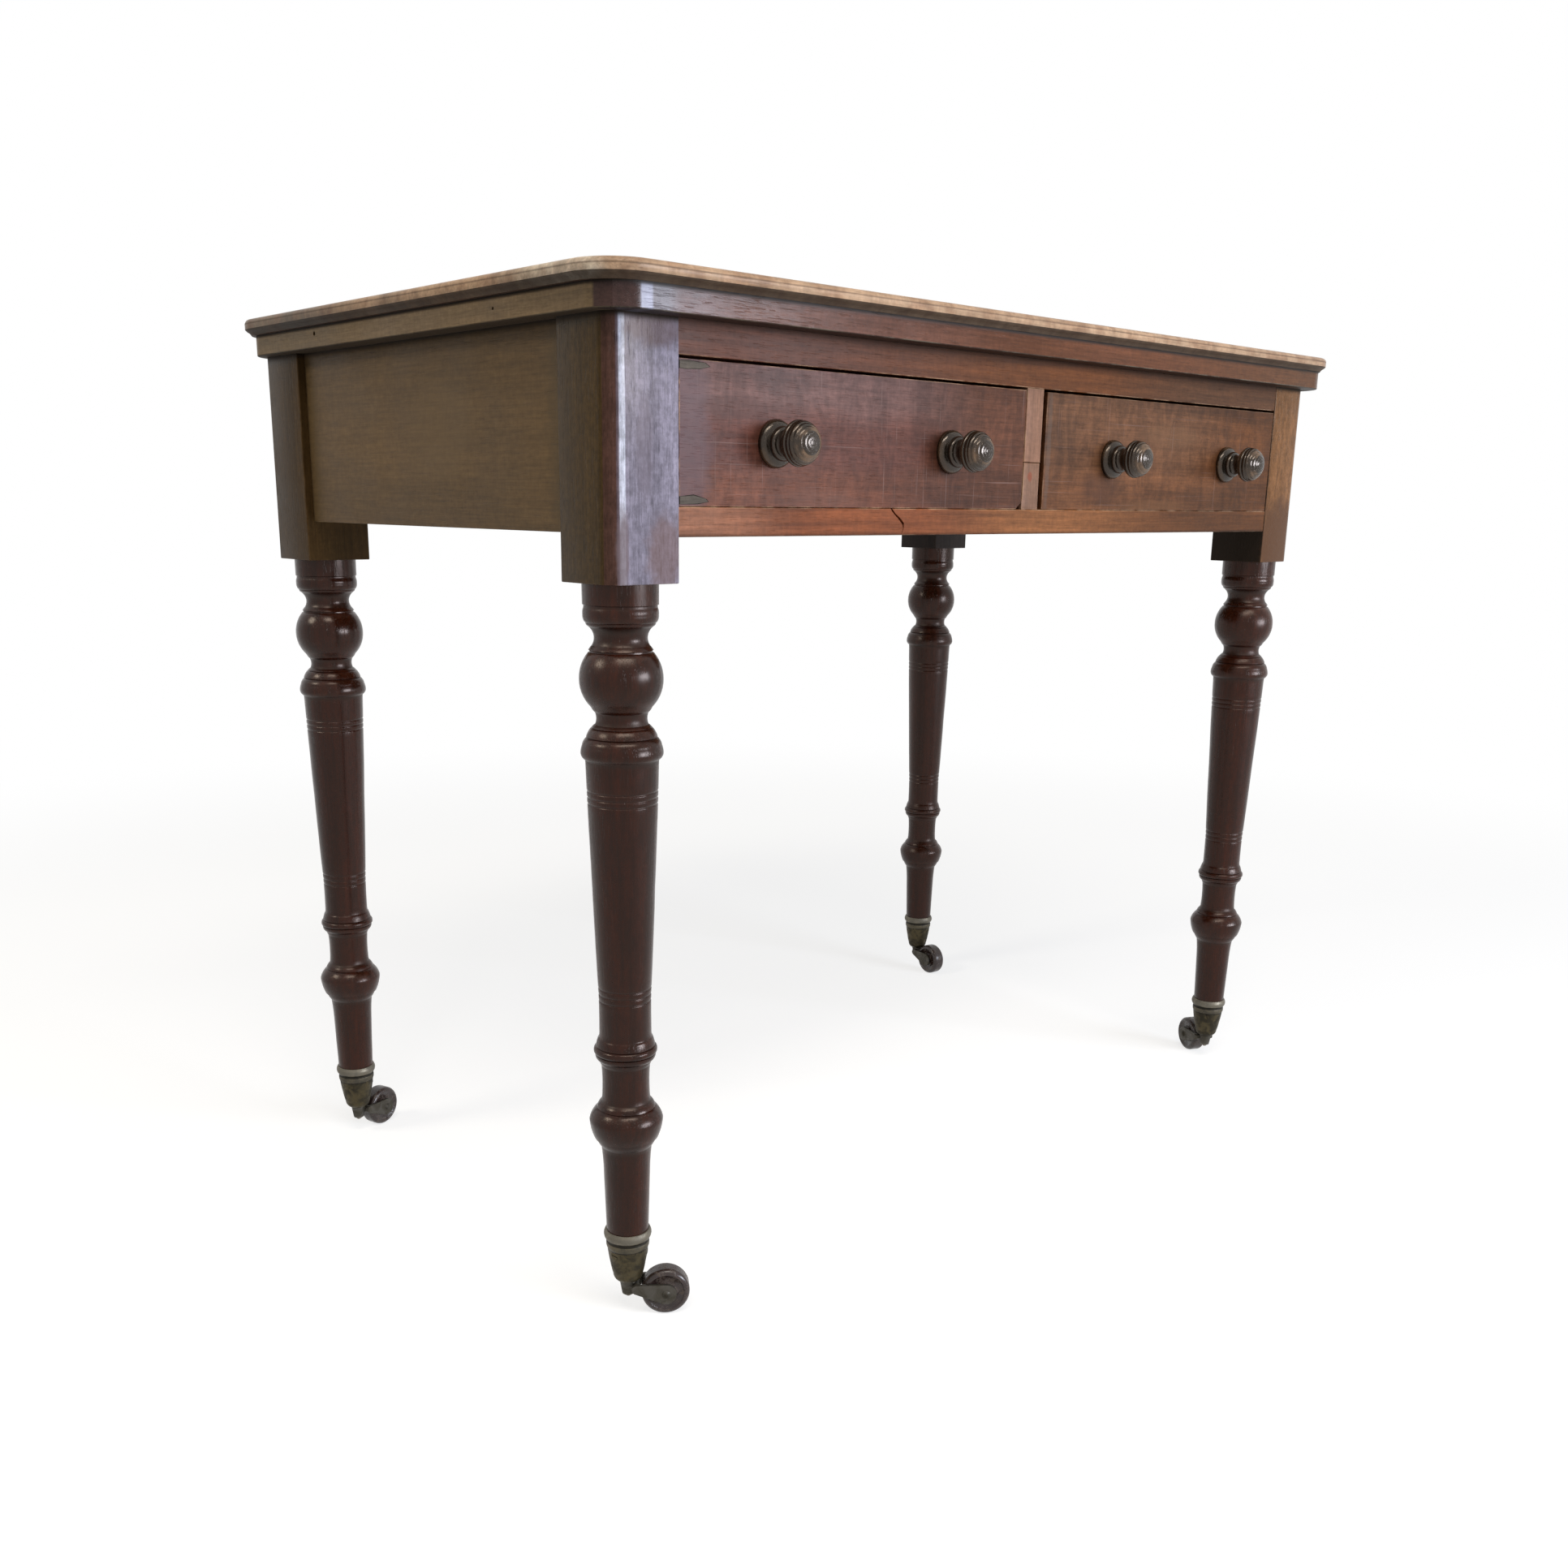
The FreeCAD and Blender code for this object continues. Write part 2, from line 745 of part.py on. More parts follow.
# Drawer positions: the inner end is beside the muntin and the outer end beside the post
drawer_outer_x = inner_x - drawer_gap_outer
drawer_inner_x = muntin_width / 2 + drawer_gap_muntin
drawer_bottom_z = bottom_rail_top + drawer_gap_bottom
drawer_front_top = top_rail_bottom - drawer_gap_top
drawer_side_top = drawer_front_top - drawer_side_drop
drawer_back_y = back_y - drawer_back_room
front_back_y = front_y + drawer_front_thickness
panel_bottom = drawer_bottom_z + drawer_bottom_rise
panel_top = panel_bottom + drawer_bottom_thickness
knob_height = (top_rail_bottom + bottom_rail_top) / 2 - knob_drop


# Runners, guides, kickers, stops and blocks
def side_strip(side, z_low, z_high, lip_x):
    """A strip along the side apron, widened past the posts to lie along the drawer's side."""
    outer = mirrored_box(side, inner_x, apron_inner_x, front_inner_y, back_inner_y, z_low, z_high)
    inner = mirrored_box(side, lip_x, inner_x, front_inner_y, back_inner_y, z_low, z_high)
    tail = mirrored_box(side, lip_x, inner_x - joint_clearance, back_inner_y, apron_back_inner_y, z_low, z_high)
    return outer.fuse(inner).fuse(tail).removeSplitter()


def side_runner(side):
    lip = drawer_outer_x - drawer_side_thickness - runner_lip
    return side_strip(side, bottom_rail_top - runner_thickness, bottom_rail_top, lip)


def side_kicker(side):
    lip = drawer_outer_x - drawer_side_thickness - runner_lip
    return with_top_screw_holes(side_strip(side, top_rail_bottom, band_bottom, lip))


def centre_strip(half_width, z_low, z_high):
    return box(-half_width, half_width, front_inner_y, apron_back_inner_y, z_low, z_high)


def side_guide(side):
    return mirrored_box(side, drawer_outer_x + drawer_gap_outer, apron_inner_x, front_inner_y, back_inner_y,
                        bottom_rail_top, bottom_rail_top + guide_height)


def centre_guide():
    return centre_strip(drawer_inner_x - guide_clearance, bottom_rail_top, bottom_rail_top + guide_height)


def drawer_stops():
    """Small blocks on the bottom rail that meet the back of each drawer front."""
    quarter = (drawer_outer_x - drawer_inner_x) / 4
    y_low = front_back_y + drawer_gap_bottom
    solids = []
    for side in (-1, 1):
        for centre in (drawer_inner_x + quarter, drawer_outer_x - quarter):
            solids.append(mirrored_box(side, centre - stop_width / 2, centre + stop_width / 2,
                                       y_low, y_low + stop_depth, bottom_rail_top, bottom_rail_top + stop_height))
    return Part.makeCompound(solids)


def glue_blocks():
    """Blocks that tie the back apron to the band."""
    solids = []
    middle = top_block_share * half_length
    for side in (-1, 1):
        block = mirrored_box(side, middle - block_length / 2, middle + block_length / 2,
                             apron_back_inner_y - block_depth, apron_back_inner_y, top_rail_bottom, band_bottom)
        solids.append(with_top_screw_holes(block))
    return Part.makeCompound(solids)


# Drawers
def tails(x_low, x_high, root_y, end_y, z_low, z_high, count):
    """Dovetails in a row up the end of a board, wider at their ends."""
    pitch = (z_high - z_low) / count
    flare = abs(end_y - root_y) * tail_slope_share
    root_half = pitch / 4
    solids = []
    for index in range(count):
        middle = z_low + pitch * (index + 0.5)
        points = [
            Vector(x_low, root_y, middle - root_half),
            Vector(x_low, end_y, middle - root_half - flare),
            Vector(x_low, end_y, middle + root_half + flare),
            Vector(x_low, root_y, middle + root_half),
        ]
        face = Part.Face(Part.makePolygon(points + points[:1]))
        solids.append(face.extrude(Vector(x_high - x_low, 0, 0)))
    return solids


class Drawer:
    """The pieces of one drawer. Side -1 is the left drawer and side 1 the right one."""

    def __init__(self, side):
        self.side = side
        self.x_low, self.x_high = sorted((side * drawer_inner_x, side * drawer_outer_x))
        self.back_low = drawer_back_y - drawer_back_thickness

    def side_x(self, which):
        """The two faces of the left or right side board."""
        if which < 0:
            return self.x_low, self.x_low + drawer_side_thickness
        return self.x_high - drawer_side_thickness, self.x_high

    def front_tails(self, which):
        x_low, x_high = self.side_x(which)
        return tails(x_low, x_high, front_back_y, front_y + drawer_lap, drawer_bottom_z, drawer_side_top,
                     front_tail_count)

    def back_tails(self, which):
        x_low, x_high = self.side_x(which)
        return tails(x_low, x_high, self.back_low, drawer_back_y, panel_top, self.back_top(), back_tail_count)

    def back_top(self):
        return drawer_side_top - drawer_back_drop

    def panel(self, room):
        """The bottom board, let into grooves in the front and the sides."""
        reach = drawer_side_thickness - drawer_groove_depth
        return box(self.x_low + reach - room, self.x_high - reach + room,
                   front_back_y - drawer_groove_depth - room, drawer_back_y, panel_bottom, panel_top)

    def groove(self):
        """The room for the bottom board, open at the back."""
        reach = drawer_side_thickness - drawer_groove_depth
        return box(self.x_low + reach - joint_clearance, self.x_high - reach + joint_clearance,
                   front_back_y - drawer_groove_depth - joint_clearance, drawer_back_y + overrun,
                   panel_bottom, panel_top)

    def front(self):
        board = box(self.x_low, self.x_high, front_y, front_back_y, drawer_bottom_z, drawer_front_top)
        board = softened(board, edges_on_plane(board, "Y", front_y))
        for which in (-1, 1):
            for tail in self.front_tails(which):
                board = board.cut(tail)
        for x in self.knob_places():
            hole = Part.makeCylinder(knob_spigot_radius + fit_clearance, drawer_front_thickness + overrun,
                                     Vector(x, front_y - overrun / 2, knob_height), Vector(0, 1, 0))
            board = board.cut(hole)
        return board.cut(self.groove())

    def side_board(self, which):
        x_low, x_high = self.side_x(which)
        board = box(x_low, x_high, front_back_y, self.back_low, drawer_bottom_z, drawer_side_top)
        lower_tail = box(x_low, x_high, self.back_low, drawer_back_y, drawer_bottom_z, panel_top)
        board = board.fuse(lower_tail)
        for tail in self.front_tails(which) + self.back_tails(which):
            board = board.fuse(tail)
        return board.removeSplitter().cut(self.groove())

    def back(self):
        board = box(self.x_low, self.x_high, self.back_low, drawer_back_y, panel_top, self.back_top())
        for which in (-1, 1):
            for tail in self.back_tails(which):
                board = board.cut(tail)
        return board

    def knob_places(self):
        near_muntin = self.side * (drawer_inner_x + knob_inset_inner) + knob_shift
        near_post = self.side * (drawer_outer_x - knob_inset_outer) + knob_shift
        return sorted((near_muntin, near_post))

    def knob(self, x):
        head = turned(knob_shares, 0, knob_projection, knob_radius)
        spigot = Part.makeCylinder(knob_spigot_radius, drawer_front_thickness)
        solid = head.fuse(spigot)
        solid.rotate(Vector(0, 0, 0), Vector(1, 0, 0), -90)
        solid.translate(Vector(x, front_y, knob_height))
        return solid

    def save(self, name):
        save("drawer_%s_front" % name, self.front())
        save("drawer_%s_side_left" % name, self.side_board(-1))
        save("drawer_%s_side_right" % name, self.side_board(1))
        save("drawer_%s_back" % name, self.back())
        save("drawer_%s_bottom" % name, self.panel(0))
        left_x, right_x = self.knob_places()
        save("drawer_%s_knob_left" % name, self.knob(left_x))
        save("drawer_%s_knob_right" % name, self.knob(right_x))


# Casters, made about the leg's axis with the wheel trailing along +X
def cup_wall_radius(z):
    """The radius of the cup's outline at a height, on its straight lines."""
    share = (rim_height - z) / cup_height
    for before, after in zip(cup_shares, cup_shares[1:]):
        if before[0] <= share <= after[0]:
            part = (share - before[0]) / (after[0] - before[0])
            return (before[1] + (after[1] - before[1]) * part) * cup_radius


def cup(corner):
    solid = turned(cup_shares, rim_height, cup_height, cup_radius)
    solid = solid.cut(foot_solid(fit_clearance))
    solid = solid.cut(Part.makeCylinder(spindle_radius + fit_clearance, cup_height, Vector(0, 0, cup_bottom)))
    x, y = leg_centre(corner)
    solid.translate(Vector(x, y, 0))
    for hole in cup_screw_solids(corner, screw_hole):
        solid = solid.cut(hole)
    return solid


def spindle():
    """The pin that is riveted in the cup and carries the horn on its lower button."""
    button_top = boss_bottom - horn_gap
    shaft = Part.makeCylinder(spindle_radius, foot_bottom - button_top, Vector(0, 0, button_top))
    head = Part.makeCylinder(spindle_head_radius, spindle_head_height, Vector(0, 0, foot_bottom))
    low = button_top - spindle_button_height
    button = Part.makeCone(spindle_button_radius / 2, spindle_button_radius, spindle_button_height,
                           Vector(0, 0, low))
    return shaft.fuse(head).fuse(button)


def cheek(y_low, y_high):
    """A flat arm that is round at the boss and at the wheel's axle, with straight flanks between."""
    small = Vector(cheek_boss_end_x, y_low, horn_top - cheek_boss_end_drop)
    large = Vector(caster_trail, y_low, wheel_radius)
    thickness = y_high - y_low
    solid = Part.makeCylinder(cheek_boss_end_radius, thickness, small, Vector(0, 1, 0))
    solid = solid.fuse(Part.makeCylinder(cheek_wheel_end_radius, thickness, large, Vector(0, 1, 0)))
    along = large - small
    lean = math.asin((cheek_wheel_end_radius - cheek_boss_end_radius) / along.Length)
    heading = math.atan2(along.z, along.x)
    points = []
    for turn, centre, radius in (
        (1, small, cheek_boss_end_radius),
        (1, large, cheek_wheel_end_radius),
        (-1, large, cheek_wheel_end_radius),
        (-1, small, cheek_boss_end_radius),
    ):
        angle = heading + turn * (math.pi / 2 + lean)
        points.append(centre + Vector(math.cos(angle), 0, math.sin(angle)) * radius)
    flank = Part.Face(Part.makePolygon(points + points[:1])).extrude(Vector(0, thickness, 0))
    return solid.fuse(flank).removeSplitter()


def horn():
    boss = Part.makeCone(boss_end_radius, boss_top_radius, boss_height, Vector(0, 0, boss_bottom))
    yoke = Part.makeCylinder(cheek_boss_end_radius, cheek_outer + cheek_outer,
                             Vector(cheek_boss_end_x, -cheek_outer, horn_top - cheek_boss_end_drop),
                             Vector(0, 1, 0))
    solid = boss.fuse(yoke)
    for y_low, y_high in ((-cheek_outer, -cheek_inner), (cheek_inner, cheek_outer)):
        solid = solid.fuse(cheek(y_low, y_high))
    bore = Part.makeCylinder(spindle_radius + fit_clearance, boss_height + overrun,
                             Vector(0, 0, boss_bottom - overrun / 2))
    eyes = Part.makeCylinder(axle_radius + fit_clearance, cheek_outer + overrun,
                             Vector(caster_trail, -(cheek_outer + overrun) / 2, wheel_radius), Vector(0, 1, 0))
    return solid.removeSplitter().cut(bore).cut(eyes)


def wheel():
    """A roller with a rounded rim and dished faces, turned about its axle."""
    half = wheel_width / 2
    dish_edge = wheel_radius - wheel_edge_radius - wheel_dish
    points = [
        Vector(axle_radius + fit_clearance, half, 0),
        Vector(wheel_hub_radius, half, 0),
        Vector(wheel_hub_radius + wheel_dish, half - wheel_dish, 0),
        Vector(dish_edge, half - wheel_dish, 0),
        Vector(wheel_radius - wheel_edge_radius, half, 0),
    ]
    low_points = [Vector(point.x, -point.y, 0) for point in reversed(points)]
    edges = []
    for place in range(1, len(points)):
        edges.append(Part.LineSegment(points[place - 1], points[place]))
        edges.append(Part.LineSegment(low_points[place - 1], low_points[place]))
    corner_in = wheel_edge_radius * (1 - math.cos(math.radians(45)))
    for high in (1, -1):
        start = Vector(wheel_radius - wheel_edge_radius, high * half, 0)
        middle = Vector(wheel_radius - corner_in, high * (half - corner_in), 0)
        end = Vector(wheel_radius, high * (half - wheel_edge_radius), 0)
        edges.append(Part.Arc(start, middle, end))
    edges.append(Part.LineSegment(Vector(wheel_radius, half - wheel_edge_radius, 0),
                                  Vector(wheel_radius, wheel_edge_radius - half, 0)))
    edges.append(Part.LineSegment(low_points[-1], points[0]))
    face = Part.Face(Part.Wire(Part.__sortEdges__([edge.toShape() for edge in edges])))
    solid = face.revolve(Vector(0, 0, 0), Vector(0, 1, 0), 360)
    solid.translate(Vector(caster_trail, 0, wheel_radius))
    return solid


def axle():
    """A pin across the cheeks with a low head on each end."""
    centre = Vector(caster_trail, 0, wheel_radius)
    solid = Part.makeCylinder(axle_radius, cheek_outer + cheek_outer, centre - Vector(0, cheek_outer, 0),
                              Vector(0, 1, 0))
    for end in (-1, 1):
        head = Part.makeCone(axle_head_radius, axle_head_radius / 2, axle_head_height,
                             centre + Vector(0, end * cheek_outer, 0), Vector(0, end, 0))
        solid = solid.fuse(head)
    return solid


def placed_at(corner, solid):
    x, y = leg_centre(corner)
    solid.rotate(Vector(0, 0, 0), Vector(0, 0, 1), caster_turn[corner])
    solid.translate(Vector(x, y, 0))
    return solid


def save_frame():
    save("top_board", top_board())
    ring = band_ring()
    for side in ("front", "back", "left", "right"):
        save("top_band_" + side, band_piece(ring, side))
    for corner in corners:
        save("leg_" + corner, leg(corner, leg_mortises(corner)))
    save("apron_left", side_apron(-1))
    save("apron_right", side_apron(1))
    save("apron_back", back_apron())
    save("top_rail", top_rail())
    save("bottom_rail", bottom_rail())
    save("centre_muntin", centre_muntin())


def save_inner_pieces():
    for name, side in (("left", -1), ("right", 1)):
        save("drawer_runner_" + name, side_runner(side))
        save("drawer_guide_" + name, side_guide(side))
        save("drawer_kicker_" + name, side_kicker(side))
    save("drawer_runner_centre", centre_strip(centre_runner_width / 2, bottom_rail_top - runner_thickness,
                                              bottom_rail_top))
    save("drawer_kicker_centre", centre_strip(centre_runner_width / 2, top_rail_bottom,
                                              top_rail_bottom + runner_thickness))
    save("drawer_guide_centre", centre_guide())
    save("drawer_stops", drawer_stops())
    save("glue_blocks", glue_blocks())
    save("top_screws", top_screws())


def save_casters():
    screws = []
    spindles = []
    for corner in corners:
        save("caster_cup_" + corner, cup(corner))
        save("caster_horn_" + corner, placed_at(corner, horn()))
        save("caster_wheel_" + corner, placed_at(corner, wheel()))
        save("caster_axle_" + corner, placed_at(corner, axle()))
        screws += cup_screw_solids(corner, screw)
        spindles.append(placed_at(corner, spindle()))
    save("caster_screws", Part.makeCompound(screws))
    save("caster_spindles", Part.makeCompound(spindles))


save_frame()
save_inner_pieces()
Drawer(-1).save("left")
Drawer(1).save("right")
save_casters()
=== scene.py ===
import json
import math
from bisect import bisect_left

import bmesh
import bpy
from bpy.props import FloatProperty, FloatVectorProperty, IntProperty, PointerProperty
from mathutils import Matrix, Vector, noise


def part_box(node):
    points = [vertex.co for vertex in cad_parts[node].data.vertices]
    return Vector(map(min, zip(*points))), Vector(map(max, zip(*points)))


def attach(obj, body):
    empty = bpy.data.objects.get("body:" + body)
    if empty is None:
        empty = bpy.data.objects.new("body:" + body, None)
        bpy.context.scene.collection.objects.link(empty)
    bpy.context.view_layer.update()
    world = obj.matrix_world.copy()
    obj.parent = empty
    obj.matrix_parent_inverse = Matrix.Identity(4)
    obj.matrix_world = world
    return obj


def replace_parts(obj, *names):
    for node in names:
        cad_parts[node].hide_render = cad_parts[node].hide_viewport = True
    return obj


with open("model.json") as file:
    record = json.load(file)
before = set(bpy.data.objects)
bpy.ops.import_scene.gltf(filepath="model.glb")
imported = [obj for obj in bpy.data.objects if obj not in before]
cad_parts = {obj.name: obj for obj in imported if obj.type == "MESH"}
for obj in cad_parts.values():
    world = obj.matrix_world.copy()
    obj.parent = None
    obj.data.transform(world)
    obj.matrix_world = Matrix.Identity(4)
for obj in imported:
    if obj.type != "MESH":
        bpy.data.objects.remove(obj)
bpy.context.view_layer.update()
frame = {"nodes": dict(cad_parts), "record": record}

bl_info = {
    "name": "Writing desk",
    "version": (1, 0, 0),
    "blender": (4, 5, 0),
    "location": "3D View > Sidebar > Desk",
    "description": "A two-drawer writing desk on turned legs with brass casters",
    "category": "Object",
}

MM = 0.001
POST_LENGTH = 0.1697
CORNERS = ("front_left", "front_right", "back_left", "back_right")
SIDES = ("left", "right")

# The turned leg from the underside of the post down to the cup's rim: share of the turned
# height, share of half the post's side, and the bulge of the line that leads there
LEG_SHARES = (
    (0.0000, 0.920, 0.0), (0.0293, 0.916, 0.0), (0.0305, 0.888, 0.0), (0.0333, 0.888, 0.0),
    (0.0345, 0.894, 0.0), (0.0440, 0.914, 0.010), (0.0535, 0.876, 0.014), (0.0548, 0.845, 0.0),
    (0.0598, 0.789, 0.016), (0.0870, 0.695, -0.092), (0.0935, 0.782, 0.004), (0.0945, 0.756, 0.0),
    (0.0965, 0.760, 0.0), (0.0975, 0.796, 0.0), (0.1343, 1.020, 0.058), (0.1745, 0.752, 0.074),
    (0.1778, 0.722, 0.0), (0.1828, 0.648, 0.004), (0.2001, 0.648, -0.027), (0.2046, 0.738, 0.006),
    (0.2053, 0.727, 0.0), (0.2060, 0.762, 0.0), (0.2178, 0.870, 0.012), (0.2186, 0.848, 0.0),
    (0.2196, 0.872, 0.0), (0.2300, 0.975, 0.020), (0.2401, 1.014, 0.006), (0.2509, 0.920, 0.030),
    (0.2530, 0.902, 0.0), (0.4479, 0.782, 0.008), (0.6107, 0.671, 0.007), (0.6680, 0.667, -0.004),
    (0.6785, 0.682, -0.006), (0.6797, 0.702, 0.0), (0.6915, 0.760, 0.006), (0.6923, 0.745, 0.0),
    (0.6931, 0.774, 0.0), (0.6984, 0.817, 0.012), (0.7036, 0.783, 0.014), (0.7044, 0.762, 0.0),
    (0.7052, 0.780, 0.0), (0.7150, 0.702, 0.026), (0.7158, 0.680, 0.0), (0.7234, 0.628, 0.004),
    (0.7243, 0.627, 0.0), (0.7802, 0.627, -0.019), (0.7824, 0.648, 0.0), (0.7918, 0.756, 0.014),
    (0.7927, 0.746, 0.0), (0.7936, 0.776, 0.0), (0.8121, 0.956, 0.028), (0.8420, 0.829, 0.024),
    (0.8432, 0.785, 0.0), (0.8558, 0.672, 0.012), (0.8572, 0.657, 0.0), (0.9046, 0.605, -0.010),
    (1.0000, 0.556, 0.0),
)
SCRIBE_SHARES = (0.2970, 0.3064, 0.3158, 0.5992, 0.6092, 0.6192)

# The knob from the drawer front outwards: shares of its reach and of its head's radius
KNOB_SHARES = (
    (0.000, 1.040, 0.0), (0.047, 1.065, 0.006), (0.156, 0.820, 0.055), (0.171, 0.730, 0.0),
    (0.182, 0.750, 0.0), (0.286, 0.680, 0.045), (0.296, 0.600, 0.0), (0.483, 0.577, -0.060),
    (0.504, 0.705, 0.0), (0.587, 0.955, 0.050), (0.665, 0.987, 0.040), (0.675, 0.955, 0.0),
    (0.686, 0.978, 0.0), (0.760, 0.940, 0.020), (0.830, 0.852, 0.030), (0.895, 0.712, 0.030),
    (0.945, 0.540, 0.030), (0.978, 0.350, 0.025), (0.994, 0.180, 0.020), (1.000, 0.004, 0.015),
)

# The scribed lines of the taper: how wide and how deep the soft groove is
SCRIBE_WIDTH = 1.3 * MM
SCRIBE_DEPTH = 0.5 * MM

# A post's rounds: the outer corner of a front one, the other corners, and the lower edge
POST_ROUND = 13 * MM
POST_CORNER = 0.9 * MM
POST_LOWER_EDGE = 0.7 * MM

# Where the band under the top starts and ends. Lines at these heights paint shade just below the
# band, and on the band's top under the top's moulding
BAND_LOW = 0.7217
BAND_HIGH = 0.7378

# An edge is softened where its faces meet at more than this angle
EDGE_ANGLE = math.radians(50)
# A face counts as a softened edge where its normal keeps off every axis by this cosine, and it
# is smaller than the area for a board, for a post or for a caster's horn
LEANING = 0.995
BOARD_EDGE_AREA = 0.0012
POST_EDGE_AREA = 0.00018
HORN_EDGE_AREA = 0.0000004
# Two heights this near to each other are the same
NEAR = 0.1 * MM

# Near black mixed in on downward faces, in grooves and along lines under the band: painted shade,
# with some dirt
SHADE_AND_DIRT_COLOUR = (0.012, 0.008, 0.006)


# Sizes and colours that a user may change
def colour(label, text, value):
    return FloatVectorProperty(name=label, description=text, subtype="COLOR", size=3, min=0, max=1,
                               default=value)


class DeskColours(bpy.types.PropertyGroup):
    side: colour("Sides", "Olive brown of the side and back panels", (0.125, 0.077, 0.035))
    band: colour("Band", "Olive brown of the band at the sides", (0.185, 0.125, 0.068))
    top: colour("Top", "Brown of the top's polished face", (0.20, 0.10, 0.055))
    edge: colour("Top's edge", "Tan of the worn moulding", (0.45, 0.30, 0.19))
    leg: colour("Turned legs", "Dark red brown of the legs", (0.020, 0.0035, 0.001))
    knob: colour("Knobs", "Near black brown of the knobs", (0.009, 0.006, 0.0035))
    lining: colour("Drawer linings", "Pale brown of the bare inner wood", (0.40, 0.26, 0.15))
    brass: colour("Brass", "Tarnished brass of the casters", (0.065, 0.050, 0.024))
    roller: colour("Rollers", "Dark brown of the casters' rollers", (0.045, 0.028, 0.024))
    floor: colour("Floor", "Pale floor of the studio", (0.60, 0.60, 0.60))


class DeskSizes(bpy.types.PropertyGroup):
    arris: FloatProperty(name="Softened edge",
                         description="Width of the rubbed edges of the boards",
                         default=0.0008, min=0.0002, max=0.003, unit="LENGTH")
    crack: FloatProperty(name="Crack", description="Width of the crack in the bottom rail",
                         default=0.0011, min=0.0001, max=0.002, unit="LENGTH")
    leg_sides: IntProperty(name="Leg facets", description="Number of sides round a turned leg",
                           default=96, min=24, max=160)
    leg_wobble: FloatProperty(name="Leg wear", description="How far wear moves the turned surface",
                              default=0.00018, min=0, max=0.001, unit="LENGTH")


def chosen(value):
    """A colour, or the user's own colour that goes by this name."""
    return getattr(bpy.context.scene.desk_colours, value) if isinstance(value, str) else value


def sizes():
    return bpy.context.scene.desk_sizes


# Node trees
def put(tree, socket, value):
    """Links a socket to another one, or sets its number, vector or colour."""
    if isinstance(value, bpy.types.NodeSocket):
        tree.links.new(value, socket)
    elif socket.type == "RGBA":
        socket.default_value = (*chosen(value)[:3], 1)
    else:
        socket.default_value = value


def add(tree, kind, inputs=(), **settings):
    """A new node with its settings made and its inputs linked or set."""
    node = tree.nodes.new(kind)
    for name, value in settings.items():
        setattr(node, name, value)
    for key, value in dict(inputs).items():
        put(tree, node.inputs[key], value)
    return node


def reckon(tree, operation, first, second=0.0, clamp=False):
    values = {0: first, 1: second}
    return add(tree, "ShaderNodeMath", values, operation=operation, use_clamp=clamp).outputs[0]


# Materials
class Finish:
    """A procedural material, built node by node on the piece's own coordinates."""

    def __init__(self, name):
        self.material = bpy.data.materials.new(name)
        self.material.use_nodes = True
        self.tree = self.material.node_tree
        self.shader = self.tree.nodes["Principled BSDF"]
        self.place = self.add("ShaderNodeTexCoord").outputs["Object"]

    def add(self, kind, inputs=(), **settings):
        return add(self.tree, kind, inputs, **settings)

    def give(self, name, value):
        """Sets or links one of the shader's own sockets."""
        put(self.tree, self.shader.inputs[name], value)

    def reckon(self, operation, first, second=0.0, clamp=False):
        return reckon(self.tree, operation, first, second, clamp)

    def plus(self, first, second, clamp=False):
        return self.reckon("ADD", first, second, clamp)

    def times(self, first, second, clamp=False):
        return self.reckon("MULTIPLY", first, second, clamp)

    def mapped(self, vector, scale, turn=(0, 0, 0), shift=(0, 0, 0), kind="POINT"):
        values = {"Vector": vector, "Location": shift, "Rotation": turn, "Scale": scale}
        return self.add("ShaderNodeMapping", values, vector_type=kind).outputs[0]

    def noise(self, vector, scale=1.0, detail=3.0, rough=0.55, warp=0.0):
        values = {"Vector": vector, "Scale": scale, "Detail": detail, "Roughness": rough,
                  "Distortion": warp}
        return self.add("ShaderNodeTexNoise", values).outputs["Fac"]

    def span(self, value, low, high, to_low=0.0, to_high=1.0, smooth=True):
        """Turns the run from low to high into another run, and keeps to its ends."""
        values = {"Value": value, "From Min": low, "From Max": high, "To Min": to_low,
                  "To Max": to_high}
        kind = "SMOOTHSTEP" if smooth else "LINEAR"
        return self.add("ShaderNodeMapRange", values, interpolation_type=kind).outputs["Result"]

    def mix(self, amount, first, second, blend="MIX"):
        values = {0: amount, 6: first, 7: second}
        return self.add("ShaderNodeMix", values, data_type="RGBA", blend_type=blend).outputs[2]

    def axis(self, which):
        return self.add("ShaderNodeSeparateXYZ", {0: self.place}).outputs[which]

    def attribute(self, name):
        return self.add("ShaderNodeAttribute", attribute_name=name).outputs["Fac"]

    def bump(self, height, distance, strength):
        values = {"Height": height, "Distance": distance, "Strength": strength}
        self.give("Normal", self.add("ShaderNodeBump", values).outputs[0])

    def near(self, centre, reach):
        """1 at a place, fading unevenly to 0 at the reach along each axis."""
        stray = self.add("ShaderNodeTexNoise", {"Vector": self.place, "Scale": 110.0})
        spread = 0.7 * min(reach)
        shift = self.mapped(stray.outputs["Color"], (spread,) * 3, shift=(-spread / 2,) * 3)
        moved = self.add("ShaderNodeVectorMath", {0: self.place, 1: shift}, operation="ADD")
        away = self.mapped(moved.outputs[0], reach, shift=centre, kind="TEXTURE")
        length = self.add("ShaderNodeVectorMath", {0: away}, operation="LENGTH")
        return self.span(length.outputs["Value"], 1.0, 0.45)


# The turn that lays the grain, which is drawn along X, along each axis
GRAIN_TURN = {"X": (0, 0, 0), "Y": (0, 0, math.radians(90)), "Z": (0, math.radians(90), 0)}


